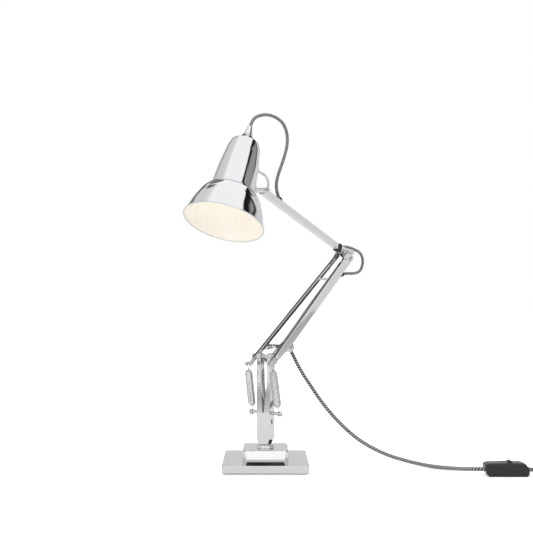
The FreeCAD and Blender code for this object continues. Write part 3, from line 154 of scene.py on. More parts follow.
# %% Directions in the room
world = bpy.data.worlds.new("studio_room")
scene.world = world
world.use_nodes = True
room = world.node_tree
room.nodes.clear()
direction = add_node(room, "ShaderNodeTexCoord")
parts = add_node(room, "ShaderNodeSeparateXYZ", {"Vector": direction.outputs["Generated"]})
towards_camera = add_node(room, "ShaderNodeMath", {0: parts.outputs["Y"], 1: -1.0}, operation="MULTIPLY")
bearing = add_node(
    room, "ShaderNodeMath", {0: parts.outputs["X"], 1: towards_camera.outputs[0]}, operation="ARCTAN2")
bearing_share = add_node(
    room, "ShaderNodeMapRange", {"Value": bearing.outputs[0], "From Min": -math.pi, "From Max": math.pi})
overhead = add_node(
    room, "ShaderNodeMath", {0: parts.outputs["X"], 1: parts.outputs["Z"]}, operation="ARCTAN2")
left_taper, right_taper = -0.55, 0.25
box_taper = add_node(
    room, "ShaderNodeMapRange",
    {"Value": overhead.outputs[0], "From Min": -0.1, "From Max": 0.1, "To Min": left_taper,
     "To Max": right_taper})
tapered = add_node(
    room, "ShaderNodeMath", {0: parts.outputs["Y"], 1: box_taper.outputs["Result"], 2: overhead.outputs[0]},
    operation="MULTIPLY_ADD")
overhead_share = add_node(
    room, "ShaderNodeMapRange", {"Value": tapered.outputs[0], "From Min": -math.pi, "From Max": math.pi})
print("the soft box tapers by", left_taper, "and", right_taper, "towards the back")

# %% [markdown]
# Four small helpers paint the room. One turns angles into a ramp's stops, one makes a soft edge from a
# value, and one lays a tone over another. The last paints a round dark thing, where a direction comes
# close to that thing's own.

# %% Helpers for the room


def angle_stops(ramp, stops):
    """Stops of a ramp that runs once round: each an angle in degrees and how light the room is there."""
    set_stops(ramp, [((degrees + 180) / 360, level) for degrees, level in stops])


def soft_step(value, low, high):
    return add_node(
        room, "ShaderNodeMapRange", {"Value": value, "From Min": low, "From Max": high},
        interpolation_type="SMOOTHSTEP").outputs["Result"]


def mix_tone(share, under, over):
    return add_node(
        room, "ShaderNodeMix", {"Factor": share, "A": under, "B": over}, data_type="RGBA").outputs["Result"]


def dark_spot(tone, way, edge, core, level):
    """A round dark thing in one direction of the room, with a soft edge."""
    near_spot = add_node(
        room, "ShaderNodeVectorMath",
        {0: direction.outputs["Generated"], 1: tuple(Vector(way).normalized())},
        operation="DOT_PRODUCT")
    return mix_tone(soft_step(near_spot.outputs["Value"], edge, core), tone, grey(level))


print("helpers for the room are ready")

# %% [markdown]
# The walls and the soft box are two ramps, each a list of angles and tones. The sweep covers the walls
# low down, and the soft box covers them high up. A dark doorway stands at the back at middle height, a
# dark fitting hangs high at the back left, and the camera is a small dark spot in front. They draw the
# thin black lines that make polished metal look like metal.

# %% Walls, soft box and dark things
sweep_edge = (0.205, 0.235)
sweep_level, far_sweep_level = 0.70, 0.56
sweep_fade = (0.70, 0.95)
ceiling_edge = (0.50, 0.62)
doorway_depth = (0.72, 0.80)
doorway_head = (0.70, 0.66)
doorway_foot = (0.32, 0.36)
doorway_level, fitting_level, camera_level = 0.10, 0.13, 0.03
walls = add_node(room, "ShaderNodeValToRGB", {"Fac": bearing_share.outputs["Result"]})
angle_stops(walls, [
    (-180, 0.46), (-166, 0.46), (-150, 0.55), (-90, 0.60), (-58, 0.66), (-54, 1.0), (49, 1.0), (52, 0.02),
    (70, 0.02), (74, 0.34), (118, 0.28), (121, 0.05), (126, 0.05), (130, 0.62), (164, 0.70), (180, 0.46)])
soft_box = add_node(room, "ShaderNodeValToRGB", {"Fac": overhead_share.outputs["Result"]})
angle_stops(soft_box, [
    (-180, 0.60), (-90, 0.60), (-40, 0.70), (-29, 0.80), (-25, 1.0), (43, 1.0), (45, 0.012), (60, 0.012),
    (64, 0.28), (90, 0.34), (180, 0.60)])
above_sweep = soft_step(parts.outputs["Z"], *sweep_edge)
sweep_tone = mix_tone(soft_step(parts.outputs["Y"], *sweep_fade), grey(sweep_level), grey(far_sweep_level))
room_tone = mix_tone(above_sweep, sweep_tone, walls.outputs["Color"])
high_up = soft_step(parts.outputs["Z"], *ceiling_edge)
room_tone = mix_tone(high_up, room_tone, soft_box.outputs["Color"])
under_head = add_node(
    room, "ShaderNodeMath",
    {0: soft_step(parts.outputs["Y"], *doorway_depth), 1: soft_step(parts.outputs["Z"], *doorway_head)},
    operation="MULTIPLY")
doorway = add_node(
    room, "ShaderNodeMath", {0: under_head.outputs[0], 1: soft_step(parts.outputs["Z"], *doorway_foot)},
    operation="MULTIPLY")
room_tone = mix_tone(doorway.outputs[0], room_tone, grey(doorway_level))
room_tone = dark_spot(room_tone, (-0.25, 0.59, 0.77), edge=0.978, core=0.988, level=fitting_level)
room_tone = dark_spot(room_tone, (0, -0.966, 0.259), edge=0.9962, core=0.9978, level=camera_level)
print("the walls have", len(walls.color_ramp.elements), "stops")

# %% [markdown]
# The world gives glossy rays that room. The camera and anything seen through glass get a plain white,
# and all other rays get a soft even light, so that the room's tones don't tint the paint and the cloth.

# %% World
light_path = add_node(room, "ShaderNodeLightPath")
seen_in_metal = add_node(room, "ShaderNodeBackground", {"Color": room_tone, "Strength": 1.40})
soft_light = add_node(room, "ShaderNodeBackground", {"Color": grey(1.0), "Strength": 0.55})
white_wall = add_node(room, "ShaderNodeBackground", {"Color": grey(1.0), "Strength": 1.0})
glossy_or_soft = add_node(
    room, "ShaderNodeMixShader",
    {0: light_path.outputs["Is Glossy Ray"], 1: soft_light.outputs[0], 2: seen_in_metal.outputs[0]})
through_glass = add_node(
    room, "ShaderNodeMixShader",
    {0: light_path.outputs["Is Transmission Ray"], 1: glossy_or_soft.outputs[0], 2: white_wall.outputs[0]})
room_out = add_node(
    room, "ShaderNodeMixShader",
    {0: light_path.outputs["Is Camera Ray"], 1: through_glass.outputs[0], 2: white_wall.outputs[0]})
add_node(room, "ShaderNodeOutputWorld", {"Surface": room_out.outputs[0]})
scene.view_settings.view_transform = "Standard"
print("the world has", len(room.nodes), "nodes")

# %% [markdown]
# ## Floor and lamps
# The floor is white card. A share of glow that only the camera, metal and glass see brings it to
# plain white, and the rest is lit, so that the shadow under each piece stays. In metal, a strip of the
# card in front of the base is brighter, as a reflector board is in a studio, and it lights the base's
# front faces. Each edge of that strip is a pair: where its light begins, and where it is full. Two soft
# panels light the lamp from the front left and from above.

# %% Floor
strip_back = (-0.195, -0.205)
strip_front = (-0.40, -0.38)
strip_side = (0.14, 0.12)
card_in_metal, strip_in_metal = 0.10, 0.55
near_glow, far_glow = 0.42, 0.9
floor_mesh = bpy.data.meshes.new("studio_floor")
floor_mesh.from_pydata([(-9, -9, 0), (9, -9, 0), (9, 9, 0), (-9, 9, 0)], [], [(0, 1, 2, 3)])
floor = bpy.data.objects.new("studio_floor", floor_mesh)
scene.collection.objects.link(floor)
card = bpy.data.materials.new("white_card")
card.use_nodes = True
tree = card.node_tree
tree.nodes.clear()
paper = add_node(tree, "ShaderNodeBsdfDiffuse", {"Color": linear("#F4F4F3")})
floor_place = add_node(tree, "ShaderNodeTexCoord")
from_lamp = add_node(tree, "ShaderNodeVectorMath", {0: floor_place.outputs["Object"]}, operation="LENGTH")
camera_glow = add_node(
    tree, "ShaderNodeMapRange",
    {"Value": from_lamp.outputs["Value"], "From Min": 0.7, "From Max": 2.0, "To Min": near_glow,
     "To Max": far_glow})
floor_parts = add_node(tree, "ShaderNodeSeparateXYZ", {"Vector": floor_place.outputs["Object"]})
sideways = add_node(tree, "ShaderNodeMath", {0: floor_parts.outputs["X"]}, operation="ABSOLUTE")
strip_shares = []
for value, (begins, full) in (
    (floor_parts.outputs["Y"], strip_back), (floor_parts.outputs["Y"], strip_front),
    (sideways.outputs[0], strip_side),
):
    share = add_node(tree, "ShaderNodeMapRange", {"Value": value, "From Min": begins, "From Max": full})
    strip_shares.append(share.outputs["Result"])
in_back, in_front, in_width = strip_shares
in_depth = add_node(tree, "ShaderNodeMath", {0: in_back, 1: in_front}, operation="MULTIPLY")
in_strip = add_node(tree, "ShaderNodeMath", {0: in_depth.outputs[0], 1: in_width}, operation="MULTIPLY")
metal_glow = add_node(
    tree, "ShaderNodeMapRange",
    {"Value": in_strip.outputs[0], "To Min": card_in_metal, "To Max": strip_in_metal})
rays = add_node(tree, "ShaderNodeLightPath")
glow_strength = add_node(
    tree, "ShaderNodeMix",
    {"Factor": rays.outputs["Is Glossy Ray"], "A": camera_glow.outputs["Result"],
     "B": metal_glow.outputs["Result"]})
glow = add_node(
    tree, "ShaderNodeEmission", {"Color": grey(1.0), "Strength": glow_strength.outputs["Result"]})
lit = add_node(tree, "ShaderNodeAddShader", {0: paper.outputs[0], 1: glow.outputs[0]})
seen = add_node(
    tree, "ShaderNodeMath", {0: rays.outputs["Is Camera Ray"], 1: rays.outputs["Is Transmission Ray"]},
    operation="MAXIMUM")
seen_too = add_node(
    tree, "ShaderNodeMath", {0: seen.outputs[0], 1: rays.outputs["Is Glossy Ray"]}, operation="MAXIMUM")
card_out = add_node(
    tree, "ShaderNodeMixShader", {0: seen_too.outputs[0], 1: paper.outputs[0], 2: lit.outputs[0]})
add_node(tree, "ShaderNodeOutputMaterial", {"Surface": card_out.outputs[0]})
floor_mesh.materials.append(card)
print("in metal the card shines", card_in_metal, "and the strip in front", strip_in_metal)

# %% Lamps


def soft_panel(name, place, target, size, power):
    data = bpy.data.lights.new(name, "AREA")
    data.shape = "RECTANGLE"
    data.size = size[0]
    data.size_y = size[1]
    data.energy = power
    panel_object = bpy.data.objects.new(name, data)
    panel_object.location = place
    aim = Vector(target) - Vector(place)
    panel_object.rotation_euler = aim.to_track_quat("-Z", "Y").to_euler()
    panel_object.visible_glossy = False
    scene.collection.objects.link(panel_object)


soft_panel("front_panel", place=(-1.3, -1.9, 1.6), target=(0.05, 0, 0.3), size=(1.6, 1.6), power=26)
soft_panel("top_panel", place=(0.3, 0.3, 2.4), target=(0.1, 0.05, 0), size=(2.2, 2.2), power=30)
print("two soft panels and the room light the lamp")

# %% [markdown]
# ## The cords
# Each cord is a fixed length of something flexible, so each is one smooth NURBS line through a few
# listed points, in the same places as in the rigid model. A tube then follows the line. It is
# built ring by ring, because the woven pattern needs to know how far along and how far round it is.

# %% Cord routes
cable_radius = 3.0
cord_radius = 3.5
lower_rise = math.radians(32)
upper_rise = math.radians(180 - 16.9)
lever_drop = math.radians(-29.6)
lever_length, arm_length, upper_length = 21.3, 375, 347.6


def along_rise(rise):
    return Vector((math.cos(rise), 0, math.sin(rise)))


pivot = Vector((1.0, 0, 198.0))
lever = along_rise(lever_drop) * lever_length
elbow = pivot + along_rise(lower_rise) * arm_length
tip = elbow + along_rise(upper_rise) * upper_length
link_foot = pivot + lever
link_top = elbow + lever


def route_from(place, route):
    return [arm_point(*(place + Vector(point))) for point in route]


elbow_loop_route = route_from(elbow, (
    (-13.9, 0, -45.7), (2, -1.2, -44.2), (16.5, -3.2, -43.9), (30, -6, -43.7), (43, -9, -41.9),
    (51.5, -11.4, -37.4), (57.4, -13, -29.8), (59.7, -14, -20.5), (58, -14.2, -11), (52.7, -13.7, -3.1),
    (44.5, -12.8, 2), (31, -10.8, 6.3), (16.5, -7.6, 9.7), (1.5, -4.4, 11.9), (-13.4, -1.6, 12.1),
    (-27.4, 0, 9.1),
))
head_loop_route = route_from(tip, (
    (-40, 0, 104.7), (-34.5, 0, 116.2), (-24, 0, 126), (-9.5, 0, 132.5), (8, 0, 137.4), (26.5, 0, 139.8),
    (45, 0, 139.6), (62, 0, 137), (76.5, 0, 132), (87, 0, 122.5), (92.8, 0, 109), (91.5, 0, 93.5),
    (85.5, 0, 79), (78, 0, 65.5), (69.5, 0, 51.8), (60.5, 0, 38), (53.5, 0, 24.5), (51, 0, 11.5),
    (54.5, 0, 0.5), (62.6, 0, -11.8),
))
link_lean = lower_rise + math.radians(0.9)
link_along = along_rise(link_lean)
link_normal = along_rise(link_lean + math.pi / 2)
block_from_foot = 69
link_width = 17.5
block_depth = 10
cord_exit = arm_point(*(
    link_top - link_along * (arm_length - block_from_foot) - link_normal * (link_width / 2 + block_depth)))
supply_route = [cord_exit] + [row_point(*p) for p in (
    (54.5, 74, 190), (61.5, 69, 175.5), (72.5, 63, 157), (86, 58, 137), (101, 53.5, 114.5),
    (119, 47, 91.5), (141.5, 40, 67.5), (167, 31.5, 45.5), (193, 21.5, 30), (223, 8.5, 17.5),
    (256, -3.5, 9.5), (283, -15.5, 5.2), (306, -27.5, 3.6), (323, -40, 4.6), (336.5, -54, 6.1),
    (347.5, -67.5, 8.3), (357, -79, 10.6), (368, -84, 11.5),
)]
cord_row = -84
switch_middle = 11.5
switch_left = row_point(380, cord_row, switch_middle)
switch_right = row_point(446, cord_row, switch_middle)
print("routes:", len(elbow_loop_route), len(head_loop_route), len(supply_route), "points")

# %% [markdown]
# The spare length is wound into a small neat coil beside the switch. Its turns spiral in on the
# floor, climb, and spiral out again on top. A NURBS line cuts inside its points, so the points stand
# a little outside the ring that the cord should follow.

# %% Coil points
coil_centre_x = 532.0
coil_inner_radius = 30.0
coil_pitch = 7.6
coil_layer_turns = 2.5
coil_end_turn = 5.25
climb_turns = 0.5
points_per_turn = 16
outside_share = 1 / (0.75 + 0.25 * math.cos(2 * math.pi / points_per_turn))


def coil_point(turn):
    outer = coil_inner_radius + coil_pitch * coil_layer_turns
    if turn <= coil_layer_turns:
        radius = outer - coil_pitch * turn
    else:
        radius = coil_inner_radius + coil_pitch * (turn - coil_layer_turns)
    share = min(max((turn - coil_layer_turns) / climb_turns + 0.5, 0.0), 1.0)
    level = cord_radius + coil_pitch * share * share * (3 - 2 * share)
    angle = 2 * math.pi * turn - math.pi / 2
    reach = radius * outside_share
    return row_point(
        coil_centre_x + reach * math.cos(angle), cord_row + outer + reach * math.sin(angle), level)


coil_steps = round(coil_end_turn * points_per_turn)
coil_turns = [coil_point(step / points_per_turn) for step in range(1, coil_steps + 1)]
plug_start = coil_point(coil_end_turn) + row_point(3.0, 36, 0)
plug_start.z = 0.007
lead_route = [switch_right] + [row_point(*p) for p in (
    (458, -84, 10.6), (470, -84, 8.4), (484, -84, 5.6), (498, -84, 4), (513, -84, 3.5), (526, -84, 3.5),
)]
tail_route = [
    coil_point(coil_end_turn) + row_point(0.8, 11, -0.4),
    coil_point(coil_end_turn) + row_point(1.8, 23, -2.4), plug_start,
]
coil_route = lead_route + coil_turns + tail_route
print("coil route has", len(coil_route), "points")

# %% [markdown]
# A route becomes a line first: Blender bends a NURBS curve along it, and the curve's points are read
# back. Rings are then built along the line. Each ring is turned as little as possible from the one
# before, so that the tube doesn't twist, and the UV map holds the real length along the cord.

# %% Lines and tubes


def smooth_line(name, route, resolution=6):
    """The points of a NURBS line of order 3 whose control points are the route's."""
    curve = bpy.data.curves.new(name, "CURVE")
    curve.dimensions = "3D"
    spline = curve.splines.new("NURBS")
    spline.points.add(len(route) - 1)
    for point, place in zip(spline.points, route):
        point.co = (*place, 1.0)
    spline.order_u = 3
    spline.use_endpoint_u = True
    spline.resolution_u = resolution
    holder = bpy.data.objects.new(name, curve)
    scene.collection.objects.link(holder)
    bpy.context.view_layer.update()
    mesh = bpy.data.meshes.new_from_object(holder.evaluated_get(bpy.context.evaluated_depsgraph_get()))
    line = [v.co.copy() for v in mesh.vertices]
    bpy.data.objects.remove(holder)
    bpy.data.meshes.remove(mesh)
    bpy.data.curves.remove(curve)
    return line


def line_length(line):
    return sum((b - a).length for a, b in zip(line, line[1:]))


def tube_mesh(name, line, radius, sides=16, start_along=0.0):
    """A round tube whose UV map runs once round in U, and in metres along in V."""
    tangents = []
    for i in range(len(line)):
        ahead = line[min(i + 1, len(line) - 1)] - line[max(i - 1, 0)]
        tangents.append(ahead.normalized())
    side = tangents[0].orthogonal().normalized()
    verts = []
    lengths = [start_along]
    for i, (centre, tangent) in enumerate(zip(line, tangents)):
        if i:
            lengths.append(lengths[-1] + (line[i] - line[i - 1]).length)
            side = tangents[i - 1].rotation_difference(tangent) @ side
        side = (side - tangent * side.dot(tangent)).normalized()
        up = tangent.cross(side)
        for k in range(sides):
            angle = 2 * math.pi * k / sides
            verts.append(centre + (side * math.cos(angle) + up * math.sin(angle)) * radius)
    faces = []
    coordinates = []
    for i in range(len(line) - 1):
        for k in range(sides):
            n = (k + 1) % sides
            faces.append((i * sides + k, i * sides + n, (i + 1) * sides + n, (i + 1) * sides + k))
            u0, u1 = k / sides, (k + 1) / sides
            v0, v1 = lengths[i], lengths[i + 1]
            coordinates += [(u0, v0), (u1, v0), (u1, v1), (u0, v1)]
    last = (len(line) - 1) * sides
    faces.append(tuple(reversed(range(sides))))
    coordinates += [(0.0, lengths[0])] * sides
    faces.append(tuple(last + k for k in range(sides)))
    coordinates += [(0.0, lengths[-1])] * sides
    mesh = bpy.data.meshes.new(name)
    mesh.from_pydata([tuple(v) for v in verts], [], faces)
    layer = mesh.uv_layers.new(name="along_and_round")
    for loop, uv in zip(layer.data, coordinates):
        loop.uv = uv
    mesh.shade_smooth()
    mesh.polygons[len(faces) - 1].use_smooth = False
    mesh.polygons[len(faces) - 2].use_smooth = False
    piece = bpy.data.objects.new(name, mesh)
    scene.collection.objects.link(piece)
    return piece


def nearest_index(line, place):
    return min(range(len(line)), key=lambda i: (line[i] - place).length)


print("a tube has 16 sides, and its UV map runs round and along")

# %% [markdown]
# ## Woven flex
# The cable is a twisted flex in a braided cotton jacket. Bands of black and off-white thread wind round
# it, and the threads that cross them leave small flecks. Cotton is rough, and its fluff catches the
# light at the edges, which is what the sheen gives. A real braid is too fine for the picture, so the
# bands are drawn as coarse as they need to show: they repeat every 5 mm along the supply cord. The
# thinner cable of the arm has a finer braid, which reads as an even grey from a distance.

# %% Woven flex material
bands_round = 2
light_band = (-0.60, -0.30)
crossing_share = 0.22
crossing_scale = 3.0
fluff_share = 0.30
threads_per_band = 3


def braided_flex(name, band_length):
    """A braid of black and off-white threads that repeats at each band length, in metres."""
    material = bpy.data.materials.new(name)
    material.use_nodes = True
    tree = material.node_tree
    tree.nodes.clear()
    uv = add_node(tree, "ShaderNodeUVMap", uv_map="along_and_round")
    uv_parts = add_node(tree, "ShaderNodeSeparateXYZ", {"Vector": uv.outputs["UV"]})
    round_part = add_node(
        tree, "ShaderNodeMath", {0: uv_parts.outputs["X"], 1: bands_round}, operation="MULTIPLY")
    along_part = add_node(
        tree, "ShaderNodeMath", {0: uv_parts.outputs["Y"], 1: 1 / band_length}, operation="MULTIPLY")
    left_strand = add_node(
        tree, "ShaderNodeMath", {0: round_part.outputs[0], 1: along_part.outputs[0]}, operation="ADD")
    right_strand = add_node(
        tree, "ShaderNodeMath", {0: round_part.outputs[0], 1: along_part.outputs[0]}, operation="SUBTRACT")
    strands = add_node(
        tree, "ShaderNodeCombineXYZ", {"X": left_strand.outputs[0], "Y": right_strand.outputs[0], "Z": 0.5})
    flecks = add_node(
        tree, "ShaderNodeTexChecker",
        {"Vector": strands.outputs["Vector"], "Color1": linear("#0A0A0B"), "Color2": linear("#C6C7C9"),
         "Scale": crossing_scale})
    band_wave = add_node(
        tree, "ShaderNodeMath", {0: left_strand.outputs[0], 1: 2 * math.pi}, operation="MULTIPLY")
    band_side = add_node(tree, "ShaderNodeMath", {0: band_wave.outputs[0]}, operation="SINE")
    band_share = add_node(
        tree, "ShaderNodeMapRange",
        {"Value": band_side.outputs[0], "From Min": light_band[0], "From Max": light_band[1]})
    bands = add_node(
        tree, "ShaderNodeMix",
        {"Factor": band_share.outputs["Result"], "A": linear("#DADBDC"), "B": linear("#08080A")},
        data_type="RGBA")
    woven = add_node(
        tree, "ShaderNodeMix",
        {"Factor": crossing_share, "A": bands.outputs["Result"], "B": flecks.outputs["Color"]},
        data_type="RGBA")
    fluff_place = add_node(tree, "ShaderNodeTexCoord")
    fluff = add_node(
        tree, "ShaderNodeTexNoise",
        {"Vector": fluff_place.outputs["Object"], "Scale": 1400.0, "Detail": 3.0})
    faded = add_node(
        tree, "ShaderNodeMix",
        {"Factor": fluff.outputs["Fac"], "A": woven.outputs["Result"], "B": linear("#4A4A4C")},
        data_type="RGBA")
    cloth_tone = add_node(
        tree, "ShaderNodeMix",
        {"Factor": fluff_share, "A": woven.outputs["Result"], "B": faded.outputs["Result"]},
        data_type="RGBA")
    thread_wave = add_node(
        tree, "ShaderNodeMath", {0: left_strand.outputs[0], 1: threads_per_band * 2 * math.pi},
        operation="MULTIPLY")
    threads = add_node(tree, "ShaderNodeMath", {0: thread_wave.outputs[0]}, operation="SINE")
    weave_bump = add_node(
        tree, "ShaderNodeBump", {"Height": threads.outputs[0], "Strength": 0.5, "Distance": 0.0003})
    cloth = add_node(
        tree, "ShaderNodeBsdfPrincipled",
        {"Base Color": cloth_tone.outputs["Result"], "Roughness": 0.92,
         "Normal": weave_bump.outputs["Normal"], "Sheen Weight": 0.3, "Sheen Roughness": 0.5})
    add_node(tree, "ShaderNodeOutputMaterial", {"Surface": cloth.outputs[0]})
    return material


woven_flex = braided_flex("braided_cotton_flex", 0.0050)
fine_flex = braided_flex("fine_braided_cotton_flex", 0.0014)
print("two flexes, both black and off-white")

# %% [markdown]
# ## The supply cord in three stretches
# The cord leaves a block under the link, hangs to the floor, and runs through the switch to a coil and
# the plug. Three joints move its upper end, and a stretch can bend across only one joint. So the one
# smooth line is cut at two places into three stretches, one for each joint.

# %% Supply cord


def finish_cord(piece, node_names, flex=fine_flex):
    piece.data.materials.append(flex)
    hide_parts(*node_names)
    return piece


whole_cord = smooth_line("supply_line", supply_route + [switch_left])
first_cut = nearest_index(whole_cord, (supply_route[4] + supply_route[5]) / 2)
second_cut = nearest_index(whole_cord, (supply_route[7] + supply_route[8]) / 2)
coil_line = smooth_line("coil_line", coil_route)
floor_line = whole_cord[second_cut:] + [
    switch_left.lerp(switch_right, share / 6) for share in range(1, 6)] + coil_line
top_line = whole_cord[:first_cut + 1]
middle_line = whole_cord[first_cut:second_cut + 1]
along = 0.0
cord_pieces = []
for name, line, nodes in (
    ("supply_flex_top", top_line, ["supply_cord_top"]),
    ("supply_flex_middle", middle_line, ["supply_cord_middle"]),
    ("supply_flex_floor", floor_line, ["supply_cord_floor", "cord_coil"]),
):
    piece = finish_cord(tube_mesh(name, line, cord_radius / 1000, start_along=along), nodes, woven_flex)
    along += line_length(line)
    cord_pieces.append((piece, line))
    print(name, "is", round(line_length(line), 3), "m long")
print("the supply cord is", round(along, 3), "m long in all")
(top_piece, _), (middle_piece, _), (floor_piece, _) = cord_pieces
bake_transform(top_piece)
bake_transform(middle_piece)
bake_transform(floor_piece)

# %% [markdown]
# ## The two loops of cable
# Where the arm bends, the cable leaves one tube and enters the next in a free loop, so that it never
# pulls tight. The loop at the elbow spans one joint. The loop at the head spans two, so it is cut
# near the bracket.

# %% Cable loops
elbow_line = smooth_line("elbow_line", elbow_loop_route)
elbow_piece = finish_cord(
    tube_mesh("elbow_flex_loop", elbow_line, cable_radius / 1000), ["elbow_cable_loop"])
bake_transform(elbow_piece)
head_line = smooth_line("head_line", head_loop_route)
head_cut = nearest_index(head_line, (head_loop_route[12] + head_loop_route[13]) / 2)
upper_line = head_line[:head_cut + 1]
lower_line = head_line[head_cut:]
head_upper = finish_cord(
    tube_mesh("head_flex_upper", upper_line, cable_radius / 1000), ["head_cable_upper"])
head_lower = finish_cord(
    tube_mesh("head_flex_lower", lower_line, cable_radius / 1000, start_along=line_length(upper_line)),
    ["head_cable_lower"])
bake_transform(head_upper)
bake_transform(head_lower)
print("loops:", round(line_length(elbow_line), 3), "m and", round(line_length(head_line), 3), "m")

# %% [markdown]
# Inside the link and the upper arm the cable runs straight. Only its ends can be glimpsed, so a straight
# tube from corner to corner of the rigid cable's box is enough. It stops a little short of both ends.

# %% Cable inside the tubes
end_gap_share = 0.03
inner_steps = 8


def inner_cable(name, node_name, body, rises):
    """A straight run of cable inside a tube, between the ends of its node's box."""
    low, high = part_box(node_name)
    start = Vector((low.x, low.y, low.z if rises else high.z))
    end = Vector((high.x, high.y, high.z if rises else low.z))
    inner_share = 1 - 2 * end_gap_share
    line = [start.lerp(end, end_gap_share + inner_share * i / inner_steps) for i in range(inner_steps + 1)]
    piece = finish_cord(tube_mesh(name, line, cable_radius / 1000), [node_name])
    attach(piece, body)
    print(name, "is", round((end - start).length, 3), "m long")


inner_cable("link_flex_inside", "link_inner_cable", "link", True)
inner_cable("arm_flex_inside", "arm_inner_cable", "upper_arm", False)

# %% [markdown]
# ## Polished chrome
# The metal is steel and aluminium that was polished, nickel plated and then chrome plated. Chrome
# reflects about two thirds of the light, a little cooler than silver, and it is nearly a mirror. Real
# plating isn't perfect: it has a faint unevenness from the polishing wheel and a few dull smears. Drawn
# spring wire has fine lines along it, so it shines in soft bands. Turned steel and brass show the
# tool's rings as a satin look, and the weight is a raw iron casting, dark, dull and grainy. A pattern's
# scale is how many of its features fit into a metre: smears of 45 mm on the plate, marks of 6 to 8 mm
# on wire and turned metal, and grains of 4 mm on the casting, drawn coarser than real so that they show.

# %% Chrome and other metals


def metal(name, tone, rough_low, rough_high, ripple, scale):
    material = bpy.data.materials.new(name)
    material.use_nodes = True
    tree = material.node_tree
    tree.nodes.clear()
    place = add_node(tree, "ShaderNodeTexCoord")
    smears = add_node(
        tree, "ShaderNodeTexNoise", {"Vector": place.outputs["Object"], "Scale": scale, "Detail": 4.0})
    rough = add_node(
        tree, "ShaderNodeMapRange",
        {"Value": smears.outputs["Fac"], "From Min": 0.35, "From Max": 0.7, "To Min": rough_low,
         "To Max": rough_high})
    polish = add_node(
        tree, "ShaderNodeTexNoise",
        {"Vector": place.outputs["Object"], "Scale": scale * 1.7, "Detail": 1.0})
    bump = add_node(
        tree, "ShaderNodeBump", {"Height": polish.outputs["Fac"], "Strength": ripple, "Distance": 0.0004})
    shader = add_node(
        tree, "ShaderNodeBsdfPrincipled",
        {"Base Color": linear(tone), "Metallic": 1.0, "Roughness": rough.outputs["Result"],
         "Normal": bump.outputs["Normal"]})
    add_node(tree, "ShaderNodeOutputMaterial", {"Surface": shader.outputs[0]})
    return material


chrome = metal("chrome_plate", "#CDCED0", rough_low=0.03, rough_high=0.10, ripple=0.05, scale=22.0)
spring_wire = metal(
    "drawn_spring_wire", "#D6D7D9", rough_low=0.18, rough_high=0.30, ripple=0.08, scale=160.0)
turned_steel = metal("turned_steel", "#A8A9AB", rough_low=0.22, rough_high=0.34, ripple=0.08, scale=120.0)
brass = metal("turned_brass", "#B08D4C", rough_low=0.22, rough_high=0.36, ripple=0.08, scale=120.0)
cast_iron = metal("cast_iron", "#3A3A3B", rough_low=0.55, rough_high=0.75, ripple=0.60, scale=260.0)
print("five metals, from a near mirror to a raw casting")

# %% [markdown]
# ## Plastics, rubber, enamel and glass
# The switch and plug are moulded black plastic, whose fine grain softens the highlights. The end plug
# and grommets are rubber, which is duller. The lampholder is pressed phenolic resin, cream and a little
# glossy. The reflector is sprayed inside with a warm white enamel under a clear sheen, the bulb's pearl
# glass spreads its light, and the felt is dull wool. Their grains are about 1 mm wide, drawn coarser
# than real so that they show at all.

# %% Plastics and the rest


def moulded(name, tone, rough, grain, grain_scale, coat=0.0):
    material = bpy.data.materials.new(name)
    material.use_nodes = True
    tree = material.node_tree
    tree.nodes.clear()
    place = add_node(tree, "ShaderNodeTexCoord")
    texture = add_node(
        tree, "ShaderNodeTexNoise",
        {"Vector": place.outputs["Object"], "Scale": grain_scale, "Detail": 3.0})
    spread = add_node(
        tree, "ShaderNodeMapRange",
        {"Value": texture.outputs["Fac"], "From Min": 0.3, "From Max": 0.7, "To Min": rough * 0.85,
         "To Max": rough * 1.2})
    bump = add_node(
        tree, "ShaderNodeBump", {"Height": texture.outputs["Fac"], "Strength": grain, "Distance": 0.0002})
    shader = add_node(
        tree, "ShaderNodeBsdfPrincipled",
        {"Base Color": linear(tone), "Roughness": spread.outputs["Result"],
         "Normal": bump.outputs["Normal"], "Coat Weight": coat, "Coat Roughness": 0.08})
    add_node(tree, "ShaderNodeOutputMaterial", {"Surface": shader.outputs[0]})
    return material


black_plastic = moulded("black_moulded_plastic", "#0B0B0C", rough=0.26, grain=0.12, grain_scale=900.0)
black_rubber = moulded("black_rubber", "#101011", rough=0.55, grain=0.25, grain_scale=1200.0)
holder_plastic = moulded("phenolic_lampholder", "#D9D5CB", rough=0.30, grain=0.10, grain_scale=700.0)
enamel = moulded("warm_white_enamel", "#FBF6EC", rough=0.28, grain=0.06, grain_scale=300.0, coat=0.3)
felt = moulded("wool_felt", "#151515", rough=0.95, grain=0.8, grain_scale=1500.0)
print("five moulded or sprayed finishes")

# %% Pearl glass
pearl_glass = bpy.data.materials.new("pearl_bulb_glass")
pearl_glass.use_nodes = True
tree = pearl_glass.node_tree
tree.nodes.clear()
pearl_place = add_node(tree, "ShaderNodeTexCoord")
pearl_grain = add_node(
    tree, "ShaderNodeTexNoise", {"Vector": pearl_place.outputs["Object"], "Scale": 500.0, "Detail": 2.0})
pearl_bump = add_node(
    tree, "ShaderNodeBump", {"Height": pearl_grain.outputs["Fac"], "Strength": 0.1, "Distance": 0.0002})
pearl = add_node(
    tree, "ShaderNodeBsdfPrincipled",
    {"Base Color": linear("#F6F3EC"), "Roughness": 0.25, "Normal": pearl_bump.outputs["Normal"],
     "Subsurface Weight": 0.3, "Subsurface Radius": (0.004, 0.004, 0.004)})
add_node(tree, "ShaderNodeOutputMaterial", {"Surface": pearl.outputs[0]})
print("pearl glass lets a little light spread under its surface")

